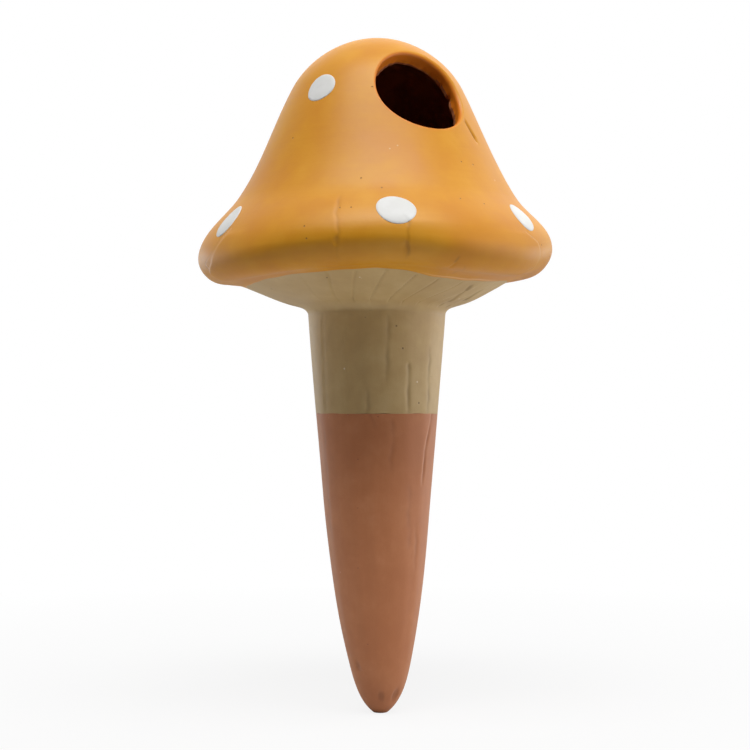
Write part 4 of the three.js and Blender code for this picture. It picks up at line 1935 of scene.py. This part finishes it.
@dataclass(frozen=True)
class KhakiPaint(ClayFinish):
    """Matt khaki paint with the scraped clay showing through its grain."""

    name: str = "khaki paint"
    deep: Colour = (0.475, 0.315, 0.132)
    main: Colour = (0.53, 0.365, 0.16)
    pale: Colour = (0.6, 0.45, 0.235)
    pit_and_shade: Colour = (0.11, 0.065, 0.028)
    fleck: Colour = (0.8, 0.7, 0.5)
    cloud: float = 18.0
    patch: float = 4.0
    streak: Span = (900.0, 70.0)
    grain: float = 0.4
    pits: Specks = Specks(3.4, 0.12, 0.03, 0.08, 0.7)
    flecks: Specks = Specks(4.2, 0.08, 0.03, 0.08, 0.6)
    tone: Place = (0.6, 0.3, 0.1)
    pale_from: Span = (0.5, 0.74)
    pale_share: float = 0.4
    pale_on_rub_highlight: float = 0.4
    pits_seen: float = 0.7
    flecks_seen: float = 0.7
    rough: Place = (0.46, 0.14, 0.0)
    gloss: float = 0.45
    tooth: Tooth = Tooth(0.35, 0.15, 0.6, 1.6, 0.7)


@dataclass(frozen=True)
class BareTerracotta(ClayFinish):
    """Dry fired clay: streaked, porous and a little dusty."""

    name: str = "bare terracotta"
    deep: Colour = (0.45, 0.155, 0.055)
    main: Colour = (0.5, 0.184, 0.07)
    pale: Colour = (0.57, 0.245, 0.115)
    pit_and_shade: Colour = (0.2, 0.065, 0.026)
    fleck: Colour = (0.74, 0.45, 0.31)
    cloud: float = 16.0
    patch: float = 4.5
    streak: Span = (700.0, 45.0)
    grain: float = 0.35
    pits: Specks = Specks(2.6, 0.22, 0.04, 0.1)
    flecks: Specks = Specks(5.0, 0.12, 0.03, 0.07)
    tone: Place = (0.55, 0.33, 0.12)
    pale_from: Span = (0.5, 0.74)
    pale_share: float = 0.45
    pale_on_rub_highlight: float = 0.4
    pits_seen: float = 0.5
    flecks_seen: float = 0.6
    rough: Place = (0.5, 0.16, 0.0)
    gloss: float = 0.45
    tooth: Tooth = Tooth(0.45, 0.15, 0.5, 1.3, 0.6)
    dust: float = 0.26
    dust_tint: Colour = (1.0, 0.7, 0.52)

    def dusted(self) -> Dressing:
        """Builds the clay's nodes, with a sheen of dust over them.

        Returns:
            The node tree with its material.
        """
        nodes = self.coat(NO_PLACES, NO_PLACES)
        nodes.set(Sheen_Weight=self.dust, Sheen_Tint=rgba(self.dust_tint))
        return nodes


@dataclass(frozen=True)
class DarkInsideClay:
    """The raw inside of the reservoir, darker than the bare clay outside."""

    deep: Colour = (0.27, 0.088, 0.032)
    main: Colour = (0.4, 0.135, 0.05)
    main_from: Span = (0.35, 0.65)
    patch: float = 6.0
    grain: float = 0.6
    rough: Span = (0.75, 0.15)
    gloss: float = 0.2
    tooth: Span = (0.6, 0.08)

    def coat(self) -> Dressing:
        """Builds the clay's nodes.

        Returns:
            The node tree with its material.
        """
        nodes = Dressing("damp clay")
        patch, grain = nodes.noise(self.patch, 4.0), nodes.noise(self.grain, 2.0)
        colour = nodes.blend(patch.above(*self.main_from), rgba(self.deep), rgba(self.main))
        rough = self.rough[0] + self.rough[1] * grain
        nodes.set(Base_Color=colour, Roughness=rough, Specular_IOR_Level=self.gloss)
        nodes.bump(grain * self.tooth[0] + patch, self.tooth[1])
        return nodes


@dataclass(frozen=True)
class WhiteEnamel:
    """Thick white enamel with a soft gloss and the odd bit of dust fired in."""

    main: Colour = (0.7, 0.698, 0.682)
    shade: Colour = (0.665, 0.662, 0.642)
    main_from: Span = (0.4, 0.65)
    cloud: float = 5.0
    ripple: float = 2.2
    dust: Colour = (0.55, 0.5, 0.42)
    dust_seen: float = 0.5
    specks: Specks = Specks(2.4, 0.08, 0.03, 0.07)
    rough: Span = (0.4, 0.14)
    gloss: float = 0.3
    tooth: Place = (0.8, 0.4, 0.05)

    def coat(self) -> Dressing:
        """Builds the enamel's nodes.

        Returns:
            The node tree with its material.
        """
        nodes = Dressing("white enamel")
        cloud, ripple = nodes.noise(self.cloud), nodes.noise(self.ripple, 2.0)
        dust = self.specks.mask(nodes, NO_PLACES)
        colour = nodes.blend(cloud.above(*self.main_from), rgba(self.shade), rgba(self.main))
        colour = nodes.blend(dust * self.dust_seen, colour, rgba(self.dust))
        rough = self.rough[0] + self.rough[1] * ripple
        nodes.set(Base_Color=colour, Roughness=rough, Specular_IOR_Level=self.gloss)
        by_ripple, by_dust, unit = self.tooth
        nodes.bump(ripple * by_ripple + dust * by_dust, unit)
        return nodes


@dataclass(frozen=True)
class Softbox:
    """One area lamp in metres and watts: where it stands, its size, its power and what it looks at."""

    name: str
    place: Place
    size: Span
    power: float
    target: Place = (0.0, 0.0, 0.03)

    def build(self) -> None:
        """Adds the lamp."""
        Workshop.begin()
        bpy.ops.object.light_add(type="AREA", location=self.place)
        lamp = bpy.context.object
        lamp.name = lamp.data.name = self.name
        lamp.data.shape = "RECTANGLE"
        lamp.data.size, lamp.data.size_y = self.size
        lamp.data.energy = self.power
        aim = np.array(self.target) - np.array(self.place)
        aim = aim / np.linalg.norm(aim)
        lamp.rotation_euler = (math.acos(-aim[2]), 0.0, math.atan2(-aim[0], aim[1]))


@dataclass
class Studio:
    """A white table and wall in plain soft light, and the camera, in metres but for the floor's height."""

    floor_height: float = -79.76
    floor_size: float = 12.0
    floor_shade: float = 0.7
    floor_mirrored: float = 0.15
    floor_glow: float = 0.86
    shadow_reach: Span = (0.06, 0.3)
    cards: tuple[tuple[Place, Span, float], ...] = (
        ((0.0, -0.62, 0.3), (1.6, 0.76), 90.0),
        ((0.0, -0.44, -0.0792), (1.6, 0.32), 0.0),
    )
    card_shade: float = 0.02
    ambient: float = 0.03
    lens: float = 71.95
    sensor: float = 36.0
    nearest: float = 0.01
    camera_place: Place = (-0.000535, -0.401, 0.0)
    camera_rise: float = 0.0513
    lamps: tuple[Softbox, ...] = (
        Softbox("lamp_above", (0.02, -0.29, 0.71), (0.75, 0.3), 6.9),
        Softbox("lamp_right", (0.57, -0.14, 0.12), (0.42, 0.4), 0.98),
        Softbox("lamp_right_back", (0.46, 0.32, 0.44), (0.45, 0.4), 0.5),
        Softbox("lamp_right_low", (0.5, 0.28, 0.02), (0.4, 0.18), 0.6),
        Softbox("lamp_left", (-0.5, 0.44, 0.03), (0.5, 0.3), 0.85),
        Softbox("lamp_behind", (0.0, 0.6, 0.5), (0.8, 0.4), 0.65),
    )

    def build(self) -> None:
        """Sets floor, world, lamps and camera."""
        self.floor()
        self.dark_cards()
        self.world()
        for lamp in self.lamps:
            lamp.build()
        self.camera()
        bpy.context.scene.view_settings.view_transform = "Standard"

    def floor(self) -> None:
        """A wide white table top that keeps the pot's shadow."""
        Workshop.begin()
        bpy.ops.mesh.primitive_plane_add(size=self.floor_size, location=(0.0, 0.0, self.floor_height * MM))
        table = bpy.context.object
        table.name = "table"
        white = bpy.data.materials.new("white table")
        white.use_nodes = True
        nodes = Nodes(white.node_tree)
        matt = nodes.add("ShaderNodeBsdfDiffuse", {}, {"Color": grey(self.floor_shade)})
        glow = nodes.add("ShaderNodeEmission", {}, {"Color": grey(1.0)})
        place = nodes.add("ShaderNodeTexCoord", {}, {})
        away = nodes.add("ShaderNodeVectorMath", {"operation": "LENGTH"}, {0: place.outputs["Object"]})
        near, far = self.shadow_reach
        limits = {"From Min": near, "From Max": far, "To Min": self.floor_glow, "To Max": 1.0}
        fade = nodes.add("ShaderNodeMapRange", {}, {"Value": away.outputs["Value"], **limits})
        share = nodes.seen(self.floor_mirrored) * Value(nodes, fade.outputs[0])
        nodes.finish("ShaderNodeOutputMaterial", share, matt, glow)
        table.data.materials.append(white)

    def dark_cards(self) -> None:
        """Dark cards behind and below the camera, unseen by it, that keep the front from washing out."""
        dark = bpy.data.materials.new("dark card")
        dark.use_nodes = True
        nodes = Nodes(dark.node_tree)
        matt = nodes.add("ShaderNodeBsdfDiffuse", {}, {"Color": grey(self.card_shade)})
        nodes.add("ShaderNodeOutputMaterial", {}, {"Surface": matt.outputs[0]})
        for number, (place, size, lean) in enumerate(self.cards):
            Workshop.begin()
            turn = (math.radians(lean), 0.0, 0.0)
            bpy.ops.mesh.primitive_plane_add(size=1.0, location=place, rotation=turn)
            card = bpy.context.object
            card.name = f"dark_card_{number}"
            card.scale = (*size, 1.0)
            card.visible_camera = False
            card.data.materials.append(dark)

    def world(self) -> None:
        """White where it is seen, and a dim even light elsewhere."""
        world = bpy.data.worlds.new("white room")
        bpy.context.scene.world = world
        world.use_nodes = True
        nodes = Nodes(world.node_tree)
        dim = nodes.add("ShaderNodeBackground", {}, {"Color": grey(1.0), "Strength": self.ambient})
        white = nodes.add("ShaderNodeBackground", {}, {"Color": grey(1.0), "Strength": 1.0})
        nodes.finish("ShaderNodeOutputWorld", nodes.seen(), dim, white)

    def camera(self) -> None:
        """A level camera in front, at the height of the soil line."""
        Workshop.begin()
        bpy.ops.object.camera_add(location=self.camera_place, rotation=(math.pi / 2.0, 0.0, 0.0))
        camera = bpy.context.object
        camera.data.lens = self.lens
        camera.data.sensor_width = self.sensor
        camera.data.shift_y = self.camera_rise
        camera.data.clip_start = self.nearest
        bpy.context.scene.camera = camera


@dataclass
class PlantWaterer:
    """The whole pot: cap, gill plate, stem, spike and enamel spots."""

    outline: Outline = field(default_factory=Outline)
    spots: tuple[Spot, ...] = (
        Spot("brim_spot_front", 6.2, 48.8, 10.0, 8.9, -17.0, 1),
        Spot("brim_spot_right", 58.7, 49.7, 7.3, 9.2, 0.0, 2),
        Spot("brim_spot_rear_right", 118.0, 48.6, 10.4, 8.6, 12.0, 3),
        Spot("brim_spot_rear", 181.0, 49.2, 10.8, 8.2, -10.0, 4),
        Spot("brim_spot_rear_left", 241.0, 48.4, 9.8, 8.8, 8.0, 5),
        Spot("brim_spot_left", 300.2, 49.8, 7.0, 9.2, 0.0, 6),
        Spot("crown_spot_right", 103.0, 82.4, 8.4, 8.2, 0.0, 7),
        Spot("crown_spot_rear", 177.0, 83.2, 8.0, 8.0, 0.0, 8),
        Spot("crown_spot_left", 251.0, 82.6, 8.4, 8.0, 0.0, 9),
        Spot("crown_spot_front_left", 324.5, 82.8, 8.1, 8.0, 0.0, 10),
    )
    cap_pinholes: tuple[Span, ...] = (
        (-3.1, 81.9), (39.4, 63.0), (46.3, 62.7), (-6.1, 57.1), (1.8, 54.5), (-11.6, 49.4), (-8.0, 49.3),
        (-21.7, 45.5), (-20.7, 38.0), (30.5, 52.6), (40.3, 51.9), (63.4, 42.6), (-44.8, 69.8),
    )
    cap_bits: tuple[Span, ...] = ((5.7, 65.0), (9.3, 65.9))
    khaki_pinholes: tuple[Span, ...] = (
        (-21.0, 33.2), (-58.0, 32.7), (22.3, 16.6), (41.2, 2.7), (16.1, 22.3),
    )
    khaki_bits: tuple[Span, ...] = ((-7.0, 32.8), (-29.2, 11.5), (38.3, 8.1))

    def build(self) -> None:
        """Makes and dresses every piece in order."""
        hand = HandShape(self.outline)
        cap = Cap(self.outline, hand, FillHole(self.outline))
        ochre = OchrePaint().coat(cap.marks(self.cap_pinholes), cap.marks(self.cap_bits)).material
        stem_marks = [hand.apply(self.outline.stem_points(m)) for m in (self.khaki_pinholes, self.khaki_bits)]
        khaki = KhakiPaint().coat(*stem_marks).material
        clay, dark_inside = BareTerracotta().dusted().material, DarkInsideClay().coat().material
        enamel = WhiteEnamel().coat().material
        cap.dress(cap.build(), ochre, dark_inside)
        plate = GillPlate(self.outline, hand)
        plate.dress(plate.build(), khaki, dark_inside)
        stem = Stem(self.outline, hand)
        stem.dress(stem.build(), khaki, dark_inside)
        spike = Spike(self.outline, hand)
        spike.dress(spike.build(), clay, dark_inside)
        for spot in self.spots:
            spot.dress(spot.build(cap), enamel)


def main() -> None:
    """Builds the pot round its CAD frame and lights it."""
    logging.basicConfig(level=logging.INFO, format="%(name)s: %(message)s")
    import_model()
    PlantWaterer().build()
    Studio().build()
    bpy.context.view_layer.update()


if __name__ == "__main__":
    main()
